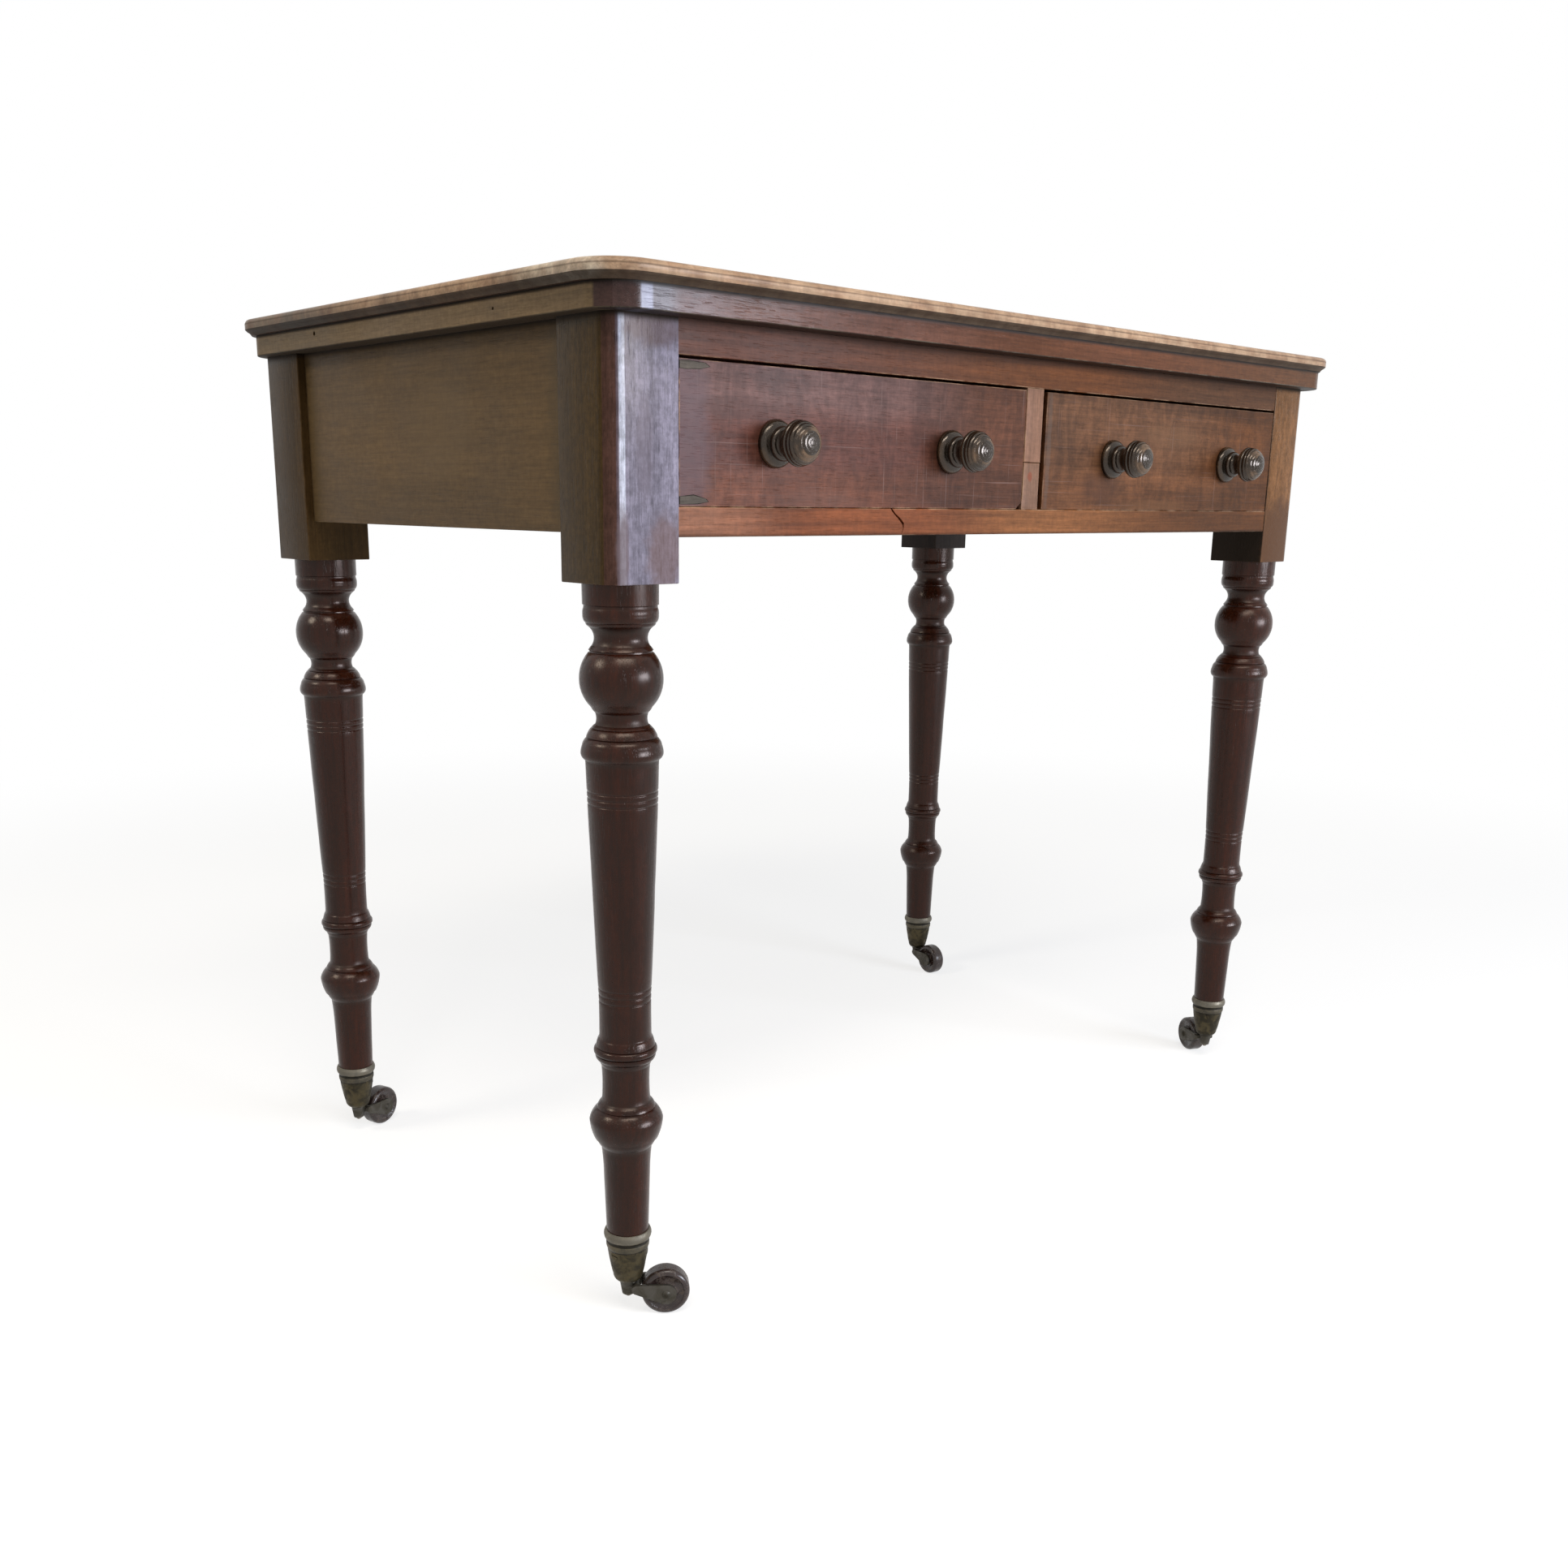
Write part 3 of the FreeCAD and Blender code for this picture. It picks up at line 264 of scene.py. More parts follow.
def wood(name, base, grain="X", seed=0.0, gloss=0.36, depth=0.5, figure=0.5, mottle=0.0, ior=1.22,
         weave=0.05, worn_look=0.12, wear=(0.42, 0.26, 0.16), wear_amount=0.6, tints=(), marks=(),
         lines=(), pores=0.2, wear_tints=(), bare=0.0, gleam=(1.0, 1.0, 1.0), shine=0.5,
         scratches=0.0):
    """Polished and worn wood whose grain runs along one axis.

    Each tint is (axis, from, to, colour): the base turns to that colour along the axis, in metres;
    some tints paint a highlight and a sheen.
    Each mark is (centre, reach, colour, amount): stains, repairs and rubbed places, and also
    painted
    shade and painted sheen. Each line is (axis, level, reach, amount): the colour darkens towards a
    level, mostly as painted shade under the band and the top's moulding."""
    finish = Finish(name)
    turned = finish.mapped(finish.place, (1, 1, 1), GRAIN_TURN[grain],
                           (seed, seed * 1.7, seed * 0.6))

    def grained(along, across, detail, rough=0.55, warp=0.0):
        stretched = finish.mapped(turned, (along, across, across))
        return finish.noise(stretched, 1.0, detail, rough, warp)

    broad = grained(1.6, 13, 4, warp=0.6)
    streak = grained(4, 120, 5, 0.62, 0.3)
    fibre = grained(24, 620, 3, 0.6)
    stroke = grained(420, 95, 2, 0.5)
    speck = grained(150, 260, 4, 0.7)
    pore = finish.span(grained(70, 1300, 1), 0.60, 0.72)
    cloud = finish.noise(finish.place, 9.0, 5, 0.6)

    def tinted(tone, steps):
        for which, low, high, tint in steps:
            stray = min(0.012, abs(high - low) / 4)
            along = finish.plus(finish.axis(which), finish.span(cloud, 0.3, 0.7, -stray, stray))
            tone = finish.mix(finish.span(along, low, high), tone, tint)
        return tone

    strength = finish.plus(finish.span(broad, 0.3, 0.7, 0.0, figure),
                           finish.span(streak, 0.3, 0.7, 0.0, 1 - figure))
    shade = finish.span(strength, 0.1, 0.9, 1.0 - depth, 1.0 + depth, smooth=False)
    for texture, amount in ((fibre, 0.13), (stroke, weave), (speck, worn_look), (cloud, 0.08)):
        shade = finish.times(shade, finish.span(texture, 0.3, 0.7, 1 - amount, 1 + amount))
    shade = finish.times(shade, finish.span(pore, 0, 1, 1.0, 1.0 - pores, smooth=False))
    if mottle:
        curl = grained(48, 20, 3, 0.65, 1.2)
        shade = finish.times(shade, finish.span(curl, 0.35, 0.65, 1 - mottle, 1 + mottle))
    grey = finish.add("ShaderNodeCombineColor", {0: shade, 1: shade, 2: shade}).outputs[0]
    toned = finish.mix(1.0, tinted(base, tints), grey, "MULTIPLY")
    for centre, reach, stain, amount in marks:
        toned = finish.mix(finish.times(finish.near(centre, reach), amount), toned, stain)
    if scratches:
        for stretch in ((8, 800, 800), (800, 800, 14)):
            thin = finish.noise(finish.mapped(finish.place, stretch), detail=2)
            scratched = finish.times(finish.span(thin, 0.66, 0.76), scratches)
            toned = finish.mix(scratched, toned, (0.27, 0.18, 0.16))

    patchy = finish.span(finish.noise(finish.place, 60, detail=3), 0.38, 0.62, bare, 1.0)
    rubbed = finish.times(finish.attribute("arris"), patchy, True)
    rubbed_tone = finish.mix(0.8, tinted(wear, wear_tints), grey, "MULTIPLY")
    toned = finish.mix(finish.times(rubbed, wear_amount), toned, rubbed_tone)
    # Downward faces, grooves and the lines below darken to near black: painted shade, with some
    # dirt
    shade_and_dirt_amount = finish.times(finish.attribute("shade_and_dirt"), 0.85)
    for which, level, reach, amount in lines:
        away = finish.reckon("ABSOLUTE", finish.reckon("SUBTRACT", finish.axis(which), level))
        shade_and_dirt_amount = finish.reckon("MAXIMUM", shade_and_dirt_amount, finish.span(away, reach, 0.0, 0.0, amount))
    finish.give("Base Color", finish.mix(shade_and_dirt_amount, toned, SHADE_AND_DIRT_COLOUR))

    rough = finish.span(cloud, 0.3, 0.7, gloss - 0.05, gloss + 0.07)
    rough = finish.plus(rough, finish.times(fibre, 0.06))
    finish.give("Roughness", finish.plus(rough, finish.times(shade_and_dirt_amount, 0.3), True))
    finish.give("IOR", ior)
    finish.give("Specular IOR Level", shine)
    finish.give("Specular Tint", gleam)
    height = finish.plus(finish.times(pore, -0.55), finish.times(fibre, 0.35))
    height = finish.plus(height, finish.times(finish.noise(finish.place, 34, detail=3), 1.5))
    finish.bump(height, 0.18 * MM, 0.8)
    return finish.material


def brass(name, base):
    """Old brass: brown and green tarnish over a dull yellow metal, brighter on its crests."""
    finish = Finish(name)
    cloud = finish.noise(finish.place, 95, 5, 0.65, 0.4)
    fine = finish.noise(finish.place, 600, 4, 0.7)
    lines = finish.noise(finish.mapped(finish.place, (40, 40, 1500)), detail=2)
    tone = finish.mix(finish.span(cloud, 0.38, 0.62), (0.026, 0.021, 0.012), base)
    for amount, tint in (
        (finish.times(finish.span(fine, 0.55, 0.7), 0.5), (0.03, 0.038, 0.024)),
        (finish.times(finish.attribute("arris"), 0.6), (0.22, 0.20, 0.165)),
        (finish.times(finish.attribute("shade_and_dirt"), 0.9), (0.012, 0.010, 0.007)),
    ):
        tone = finish.mix(amount, tone, tint)
    finish.give("Base Color", tone)
    finish.give("Metallic", 0.75)
    rough = finish.span(cloud, 0.35, 0.65, 0.62, 0.36)
    finish.give("Roughness", finish.plus(rough, finish.times(fine, 0.12)))
    finish.bump(finish.plus(fine, finish.times(lines, 0.5)), 0.12 * MM, 0.7)
    return finish.material


def china(name, base):
    """Dark brown glazed china with fine crazing and patches of pale dirt."""
    finish = Finish(name)
    cloud = finish.noise(finish.place, 160, 5, 0.6)
    craze = finish.add("ShaderNodeTexVoronoi", {"Vector": finish.place, "Scale": 420},
                       feature="DISTANCE_TO_EDGE").outputs["Distance"]
    dirt = finish.span(finish.noise(finish.place, 230, 6, 0.7), 0.5, 0.66)
    tone = finish.mix(finish.span(cloud, 0.3, 0.7), (0.028, 0.017, 0.015), base)
    tone = finish.mix(finish.span(craze, 0.05, 0.0, 0.0, 0.5), tone, (0.015, 0.010, 0.008))
    finish.give("Base Color", finish.mix(finish.times(dirt, 0.5), tone, (0.13, 0.10, 0.075)))
    finish.give("Roughness", finish.span(dirt, 0, 1, 0.24, 0.6))
    finish.give("Specular IOR Level", 0.45)
    finish.bump(finish.plus(cloud, finish.times(dirt, 0.6)), 0.25 * MM, 0.6)
    return finish.material


def steel(name, base):
    """Dull steel with a little rust."""
    finish = Finish(name)
    cloud = finish.noise(finish.place, 260, 5, 0.65)
    finish.give("Base Color", finish.mix(finish.span(cloud, 0.42, 0.6), base, (0.10, 0.055, 0.03)))
    finish.give("Metallic", 0.8)
    finish.give("Roughness", finish.span(cloud, 0.3, 0.7, 0.34, 0.62))
    finish.bump(cloud, 0.1 * MM, 0.6)
    return finish.material


# Finishes: the kind, the base colour or the name of the user's colour, and the settings
BARE = {"gloss": 0.68, "depth": 0.25, "wear": (0.30, 0.2, 0.12), "wear_amount": 0.4}
FINISHES = {
    "Side wood": (wood, "side", dict(
        grain="Y", seed=3.1, gloss=0.42, depth=0.14, figure=0.7, pores=0.12,
        wear=(0.20, 0.14, 0.085), wear_amount=0.4,
        # The two dark marks beside the posts are painted shade in the panel's recess; the line
        # under the band is painted shade too
        marks=(((-0.4305, -0.185, 0.652), (0.03, 0.030, 0.16), (0.080, 0.058, 0.032), 0.5),
               ((-0.4305, -0.02, 0.657), (0.03, 0.06, 0.05), (0.15, 0.10, 0.052), 0.4),
               ((-0.4305, 0.20, 0.652), (0.03, 0.035, 0.14), (0.075, 0.050, 0.022), 0.5)),
        lines=(("Z", BAND_LOW, 0.006, 0.95),))),
    "Side band wood": (wood, "band", dict(
        grain="Y", seed=5.3, gloss=0.42, depth=0.16, pores=0.15,
        wear=(0.30, 0.23, 0.15), wear_amount=0.8,
        tints=(("Y", 0.0, 0.2, (0.15, 0.10, 0.048)),
               ("Y", -0.2365, -0.2392, (0.056, 0.031, 0.027))),
        # Painted shade along the band's top, under the top's moulding
        lines=(("Z", BAND_HIGH, 0.003, 1.0),))),
    "Front band wood": (wood, (0.056, 0.031, 0.027), dict(
        seed=7.7, gloss=0.20, depth=0.26, ior=1.24, wear=(0.32, 0.26, 0.18), wear_amount=0.8,
        # The first tints paint the window's highlight on the rounded corner and its lavender sheen
        # fading along the front; the later ones are the wood's own tone
        tints=(("X", -0.4255, -0.4235, (0.33, 0.33, 0.42)),
               ("X", -0.4168, -0.4145, (0.155, 0.135, 0.150)),
               ("X", -0.408, -0.392, (0.125, 0.068, 0.062)),
               ("X", -0.39, -0.33, (0.112, 0.047, 0.031)),
               ("X", -0.25, 0.0, (0.105, 0.037, 0.016)),
               ("X", 0.1, 0.4, (0.086, 0.032, 0.011))),
        # Painted shade along the band's top, under the top's moulding
        lines=(("Z", BAND_HIGH, 0.003, 1.0),))),
    "Post wood": (wood, (0.062, 0.036, 0.012), dict(
        grain="Z", seed=11.9, gloss=0.19, depth=0.26, pores=0.3, ior=1.20, worn_look=0.24,
        wear=(0.20, 0.12, 0.075), wear_amount=0.3, gleam=(1.0, 0.82, 0.62),
        # The pale and lavender tints near the front left corner paint the window's highlight on the
        # rounded corner and its sheen on the front face
        tints=(("X", -0.43668, -0.43640, (0.074, 0.036, 0.028)),
               ("X", -0.4312, -0.4300, (0.115, 0.085, 0.10)),
               ("X", -0.4296, -0.4284, (0.56, 0.57, 0.66)),
               ("X", -0.4254, -0.4240, (0.22, 0.20, 0.25)),
               ("X", 0.2, 0.3, (0.175, 0.082, 0.035))),
        # Of these marks the lavender ones paint sheen on the front face, the dark one at the top
        # paints shade under the band, and the near-black ones paint shade on the right post's left
        # face and the left post's inner faces; the line is painted shade under the band
        marks=(((-0.392, -0.24, 0.573), (0.020, 0.02, 0.032), (0.165, 0.095, 0.080), 0.6),
               ((-0.400, -0.24, 0.714), (0.032, 0.02, 0.016), (0.11, 0.065, 0.060), 0.6),
               ((-0.409, -0.24, 0.640), (0.010, 0.02, 0.045), (0.15, 0.125, 0.15), 0.5),
               ((-0.4268, -0.24, 0.572), (0.0060, 0.03, 0.040), (0.17, 0.125, 0.135), 0.85),
               ((0.409, -0.24, 0.575), (0.05, 0.05, 0.055), (0.105, 0.050, 0.026), 1.0),
               ((0.3795, -0.21, 0.60), (0.0022, 0.08, 0.20), (0.014, 0.009, 0.007), 1.0),
               ((-0.385, -0.183, 0.65), (0.070, 0.048, 0.70), (0.045, 0.028, 0.013), 1.0)),
        lines=(("Z", BAND_LOW, 0.006, 1.0),))),
    # The back left post's finish is a darker copy of the front posts' one, painted shade; its line
    # is painted shade under the band
    "Side post wood": (wood, (0.050, 0.028, 0.010), dict(
        grain="Z", seed=28.5, gloss=0.30, depth=0.26, ior=1.18, wear=(0.14, 0.09, 0.055),
        wear_amount=0.3, gleam=(1.0, 0.80, 0.58), lines=(("Z", BAND_LOW, 0.006, 0.95),))),
    # The back right post's near-black finish is painted shade
    "Back post wood": (wood, (0.018, 0.012, 0.010), dict(
        grain="Z", seed=26.0, gloss=0.5, depth=0.3, wear=(0.04, 0.03, 0.02), wear_amount=0.3)),
    "Leg wood": (wood, "leg", dict(
        grain="Z", seed=2.3, gloss=0.21, depth=0.5, figure=0.4, ior=1.36, pores=0.15, weave=0.03,
        worn_look=0.25, wear=(0.085, 0.04, 0.026), wear_amount=0.3, gleam=(1.0, 0.84, 0.76))),
    "Top wood": (wood, "top", dict(
        seed=1.3, gloss=0.30, depth=0.30, figure=0.6, mottle=0.08, bare=0.5,
        wear="edge", wear_amount=0.9,
        wear_tints=(("Y", -0.12, -0.22, (0.78, 0.68, 0.55)), ("X", -0.455, -0.445, "edge"),
                    ("Y", 0.04, 0.16, (0.15, 0.11, 0.07))),
        marks=(((0.18, -0.06, 0.751), (0.05, 0.05, 0.02), (0.30, 0.18, 0.11), 0.25),
               ((-0.22, 0.10, 0.751), (0.12, 0.07, 0.02), (0.10, 0.05, 0.03), 0.35)),
        # The line at the moulding's foot is painted shade in its undercut; the other is a thin
        # darker line higher on the nose
        lines=(("Z", 0.7382, 0.0022, 0.85), ("Z", 0.7472, 0.0010, 0.5)))),
    "Top underside wood": (wood, (0.80, 0.58, 0.39), dict(
        seed=18.0, gloss=0.8, depth=0.3, wear_amount=0.0, shine=0.0,
        # The lines darken the underside along the band's outer faces: painted shade in the corner
        lines=tuple((axis, getattr(corner, axis.lower()), 0.008, 1.0)
                    for corner in (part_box("top_band_left")[0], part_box("top_band_right")[1])
                    for axis in "XY"))),
    "Top rail wood": (wood, (0.123, 0.047, 0.029), dict(
        # Its line paints the shade of the band across the rail's upper part
        seed=4.4, gloss=0.4, depth=0.45, lines=(("Z", BAND_LOW, 0.0095, 0.72),),
        tints=(("X", -0.35, 0.0, (0.112, 0.036, 0.010)),
               ("X", 0.05, 0.25, (0.072, 0.030, 0.013))))),
    "Bottom rail wood": (wood, (0.285, 0.117, 0.062), dict(
        seed=8.2, gloss=0.42, depth=0.42, lines=(("Z", 0.5826, 0.003, 0.6),),
        tints=(("X", -0.36, -0.26, (0.180, 0.053, 0.018)),
               ("X", -0.15, 0.0, (0.220, 0.085, 0.030)),
               ("X", 0.02, 0.22, (0.107, 0.039, 0.013))))),
    "Muntin wood": (wood, (0.263, 0.138, 0.088), dict(
        grain="Z", seed=9.1, gloss=0.45, depth=0.20,
        marks=(((-0.004, -0.24, 0.629), (0.004, 0.01, 0.005), (0.22, 0.06, 0.03), 0.8),),
        tints=(("Z", 0.6405, 0.6395, (0.207, 0.113, 0.073)),))),
    "Left drawer wood": (wood, (0.122, 0.063, 0.054), dict(
        seed=6.6, gloss=0.38, depth=0.36, figure=0.6, mottle=0.18, worn_look=0.15, scratches=0.35,
        tints=(("Z", 0.675, 0.655, (0.103, 0.038, 0.027)),
               ("Z", 0.640, 0.618, (0.122, 0.043, 0.024)),
               ("X", -0.20, -0.05, (0.078, 0.029, 0.015))),
        # The pinkish grey mark at the left end paints the window's sheen
        marks=(((-0.375, -0.24, 0.65), (0.03, 0.02, 0.09), (0.117, 0.073, 0.080), 0.7),
               ((-0.330, -0.24, 0.668), (0.045, 0.02, 0.010), (0.072, 0.032, 0.026), 0.5),
               ((-0.250, -0.24, 0.606), (0.060, 0.02, 0.012), (0.155, 0.075, 0.055), 0.4)))),
    "Right drawer wood": (wood, (0.115, 0.050, 0.023), dict(
        seed=12.4, gloss=0.42, depth=0.42, figure=0.6, mottle=0.2, weave=0.04, worn_look=0.15,
        wear_amount=0.4, scratches=0.2,
        tints=(("Z", 0.650, 0.612, (0.122, 0.047, 0.018)),
               ("X", 0.20, 0.34, (0.086, 0.031, 0.010))),
        # The pale grey mark along the left edge paints a highlight on the edge
        marks=(((0.0190, -0.24, 0.650), (0.0038, 0.02, 0.075), (0.115, 0.088, 0.072), 0.35),
               ((0.098, -0.24, 0.622), (0.040, 0.02, 0.018), (0.070, 0.028, 0.014), 0.6),
               ((0.200, -0.24, 0.668), (0.060, 0.02, 0.014), (0.135, 0.066, 0.032), 0.5),
               ((0.290, -0.24, 0.640), (0.055, 0.02, 0.012), (0.068, 0.024, 0.008), 0.5),
               ((0.180, -0.24, 0.606), (0.070, 0.02, 0.008), (0.130, 0.058, 0.024), 0.5)))),
    "Repair wood": (wood, (0.092, 0.076, 0.060), dict(seed=14.0, gloss=0.5, depth=0.25)),
    "Old glue line": (wood, (0.02, 0.014, 0.010), dict(
        seed=15.0, gloss=0.7, depth=0.2, wear_amount=0.0)),
    # Near black for the band's downward faces: painted shade, with some dirt
    "Painted underside shade": (wood, (0.010, 0.008, 0.006), dict(
        seed=16.0, gloss=0.9, depth=0.3, wear_amount=0.0, shine=0.0)),
    "Knob wood": (wood, "knob", dict(
        grain="Y", seed=17.5, gloss=0.14, depth=0.35, ior=1.55, pores=0.05, weave=0.03,
        # Its gold rubbed crests are partly wear and partly a painted highlight
        wear=(0.20, 0.115, 0.060), gleam=(1.0, 0.85, 0.74))),
    "Lining wood": (wood, "lining", dict(grain="Y", seed=21.0, **BARE)),
    "Inner frame wood": (wood, (0.34, 0.21, 0.115), dict(grain="Y", seed=23.5, **BARE)),
    "Back wood": (wood, (0.12, 0.075, 0.043), dict(seed=25.0, gloss=0.48, depth=0.2, pores=0.3)),
    "Cup brass": (brass, "brass", {}),
    "Horn brass": (brass, (0.052, 0.047, 0.040), {}),
    "Roller china": (china, "roller", {}),
    "Dull steel": (steel, (0.24, 0.22, 0.19), {}),
}


def finish_of(name):
    """The named finish, made the first time that a piece asks for it."""
    material = bpy.data.materials.get(name)
    if material is None:
        kind, base, settings = FINISHES[name]
        material = kind(name, base, **settings)
    return material


def coat(mesh, *names):
    """Puts finishes on a mesh, one for each of its slots."""
    mesh.materials.clear()
    for name in names:
        mesh.materials.append(finish_of(name))


# Meshes
def in_scene(name, data):
    thing = bpy.data.objects.new(name, data)
    bpy.context.scene.collection.objects.link(thing)
    return thing


def mesh_of(name, bm):
    mesh = bpy.data.meshes.new(name)
    bm.to_mesh(mesh)
    bm.free()
    return mesh


def evaluated_mesh(thing):
    """A plain mesh of what an object's modifiers make of it."""
    graph = bpy.context.evaluated_depsgraph_get()
    return bpy.data.meshes.new_from_object(thing.evaluated_get(graph))


def new_piece(name, mesh, body, *names):
    coat(mesh, *names)
    piece = in_scene(name, mesh)
    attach(piece, body)
    return piece


def merged_copy(node):
    """A CAD node's mesh with its doubled points merged and its flat faces whole."""
    bm = bmesh.new()
    bm.from_mesh(frame["nodes"][node].data)
    bmesh.ops.remove_doubles(bm, verts=bm.verts, dist=0.002 * MM)
    bmesh.ops.dissolve_limit(bm, angle_limit=math.radians(0.2), verts=bm.verts, edges=bm.edges)
    return bm


def soften_edges(bm, width, chosen_edge):
    edges = [edge for edge in bm.edges if len(edge.link_faces) == 2
             and edge.calc_face_angle() > EDGE_ANGLE and chosen_edge(edge)]
    bmesh.ops.bevel(bm, geom=edges, offset=width, segments=2, profile=0.5, affect="EDGES",
                    clamp_overlap=True)


def leaning(face, area, amount):
    """The amount on a narrow face along no axis, such as a softened edge, and 0 elsewhere."""
    lean = max(abs(part) for part in face.normal)
    return amount if lean < LEANING and face.calc_area() < area else 0.0


def slanted(face):
    return leaning(face, BOARD_EDGE_AREA, 1.0)


def slanted_post(face):
    return leaning(face, POST_EDGE_AREA, 0.6)


def sloping(face):
    return 1.0 if 0.2 < abs(face.normal.z) < 0.98 else 0.0


def underside(face):
    """1 on a face that looks down, which darkens there as painted shade with some dirt."""
    return max(0.0, min(1.0, (-face.normal.z - 0.15) * 3))


def clean(face):
    return 0.0


def mark(mesh, name, values):
    """Stores a value at each corner of a mesh."""
    mesh.attributes.new(name, "FLOAT", "CORNER").data.foreach_set("value", values)


def finished_mesh(bm, name, arris=slanted, shade_and_dirt=clean):
    """A mesh with smooth shading, its rubbed edges marked, and the faces marked that darken as
    painted shade with some dirt.
    """
    for face in bm.faces:
        face.material_index = int(shade_and_dirt is underside and face.normal.z < -0.5)
    marks = {"arris": [arris(face) for face in bm.faces],
             "shade_and_dirt": [shade_and_dirt(face) for face in bm.faces]}
    mesh = mesh_of(name, bm)
    for label, values in marks.items():
        mark(mesh, label, [values[polygon.index] for polygon in mesh.polygons
                           for corner in polygon.loop_indices])
    mesh.shade_smooth()
    mesh.set_sharp_from_angle(angle=math.radians(35))
    return mesh


def body_of(node):
    for body, members in frame["record"]["behaviour"]["bodies"].items():
        if node in members:
            return body
    raise ValueError("no body holds " + node)


def dress(node, name, softened=None, width=None, arris=slanted, shade_and_dirt=clean, below="Painted underside shade"):
    """Replaces a CAD node with a merged copy in its finish; if need be, its downward faces take a
    second finish, by default a near-black one that paints shade under the piece.
    """
    bm = merged_copy(node)
    if softened:
        soften_edges(bm, width or sizes().arris, softened)
    mesh = finished_mesh(bm, "finished_" + node, arris, shade_and_dirt)
    names = (name, below) if shade_and_dirt is underside else (name,)
    piece = new_piece("finished_" + node, mesh, body_of(node), *names)
    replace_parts(piece, node)
    return piece


def joined(first, second):
    with bpy.context.temp_override(active_object=first, selected_editable_objects=[first, second]):
        bpy.ops.object.join()
    return first


def cut_with(piece, name, bm):
    """Takes a volume out of a piece."""
    cutter = in_scene(name, mesh_of(name, bm))
    modifier = piece.modifiers.new("cut", "BOOLEAN")
    modifier.operation = "DIFFERENCE"
    modifier.solver = "EXACT"
    modifier.object = cutter
    result = evaluated_mesh(piece)
    piece.modifiers.remove(modifier)
    old = piece.data
    names = [slot.material.name for slot in piece.material_slots]
    piece.data = result
    coat(result, *names)
    bpy.data.meshes.remove(old)
    bpy.data.objects.remove(cutter)


def drill(piece, place, along, radius, depth):
    """A small hole, a little uneven round its rim."""
    bm = bmesh.new()
    bmesh.ops.create_cone(bm, cap_ends=True, segments=14, radius1=radius, radius2=radius * 0.7,
                          depth=depth * 2)
    for vertex in bm.verts:
        vertex.co *= 1 + 0.12 * noise.noise(vertex.co * 900)
    turn = along.to_track_quat("Z", "Y").to_matrix().to_4x4()
    bmesh.ops.transform(bm, matrix=Matrix.Translation(place) @ turn, verts=bm.verts)
    cut_with(piece, "drill", bm)


def prism(points, low, high, axis="Z"):
    """A closed solid between two heights along an axis, from an outline in the other two."""
    bm = bmesh.new()

    def corner(a, b, c):
        return bm.verts.new({"Z": (a, b, c), "Y": (a, c, b)}[axis])

    lower, upper = [[corner(a, b, level) for a, b in points] for level in (low, high)]
    for index in range(len(points)):
        after = (index + 1) % len(points)
        bm.faces.new((lower[index], lower[after], upper[after], upper[index]))
    bm.faces.new(lower)
    bm.faces.new(upper)
    bmesh.ops.recalc_face_normals(bm, faces=bm.faces)
    return bm


def on_level(axis, level):
    """A test for an edge that lies wholly at one place along an axis."""
    return lambda edge: all(abs(vertex.co[axis] - level) < NEAR for vertex in edge.verts)


def coat_node(node, name):
    """Puts a finish on a CAD node that stays."""
    coat(frame["nodes"][node].data, name)


def leg_axis(corner):
    low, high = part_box("leg_" + corner)
    return (low.x + high.x) / 2, (low.y + high.y) / 2


# Pieces made by node trees
def new_tree(name, sockets):
    """An empty tree with named inputs, their identifiers, and the values that it is given."""
    tree = bpy.data.node_groups.new(name, "GeometryNodeTree")

    def socket(label, kind, way="INPUT"):
        return tree.interface.new_socket(label, in_out=way, socket_type="NodeSocket" + kind)

    socket("Geometry", "Geometry")
    keys = {label: socket(label, kind).identifier for label, kind in sockets.items()}
    socket("Geometry", "Geometry", "OUTPUT")
    return tree, keys, add(tree, "NodeGroupInput").outputs


def end_tree(tree, geometry, finish):
    """Ends a tree in real instances in their finish."""
    whole = add(tree, "GeometryNodeRealizeInstances", {"Geometry": geometry}).outputs[0]
    coated = add(tree, "GeometryNodeSetMaterial", {"Geometry": whole, "Material": finish})
    add(tree, "NodeGroupOutput", {"Geometry": coated.outputs["Geometry"]})


def node_mesh(name, data, make_tree, values):
    """The plain mesh that a node tree makes of a curve or of points."""
    holder = in_scene(name, data)
    tree, keys = make_tree()
    modifier = holder.modifiers.new(name, "NODES")
    modifier.node_group = tree
    for label, value in values.items():
        modifier[keys[label]] = value
    mesh = evaluated_mesh(holder)
    bpy.data.objects.remove(holder)
    bpy.data.node_groups.remove(tree)
    return mesh


# Turned pieces
def arc_points(start, end, bulge, count):
    """Points after the start of a line from start to end that stands out by the bulge."""
    if abs(bulge) < 1e-9:
        return [end]
    travel = end - start
    chord = travel.length
    out = Vector((-travel.y, travel.x)).normalized()
    radius = (chord * chord / 4 + bulge * bulge) / (2 * abs(bulge))
    side = 1 if bulge > 0 else -1
    centre = (start + end) / 2 + out * side * (abs(bulge) - radius)
    half = math.asin(min(1.0, chord / 2 / radius))
    points = []
    for step in range(1, count + 1):
        turn = (2 * step / count - 1) * half
        points.append(centre + out * side * radius * math.cos(turn)
                      + travel.normalized() * radius * math.sin(turn))
    return points


def outline_points(shares, top, height, radius, count):
    """The outline as (radius, height) points, from the top down."""
    points = [Vector((shares[0][1] * radius, top - shares[0][0] * height))]
    for drop, reach, bulge in shares[1:]:
        end = Vector((reach * radius, top - drop * height))
        points += arc_points(points[-1], end, bulge * radius, count)
    return points


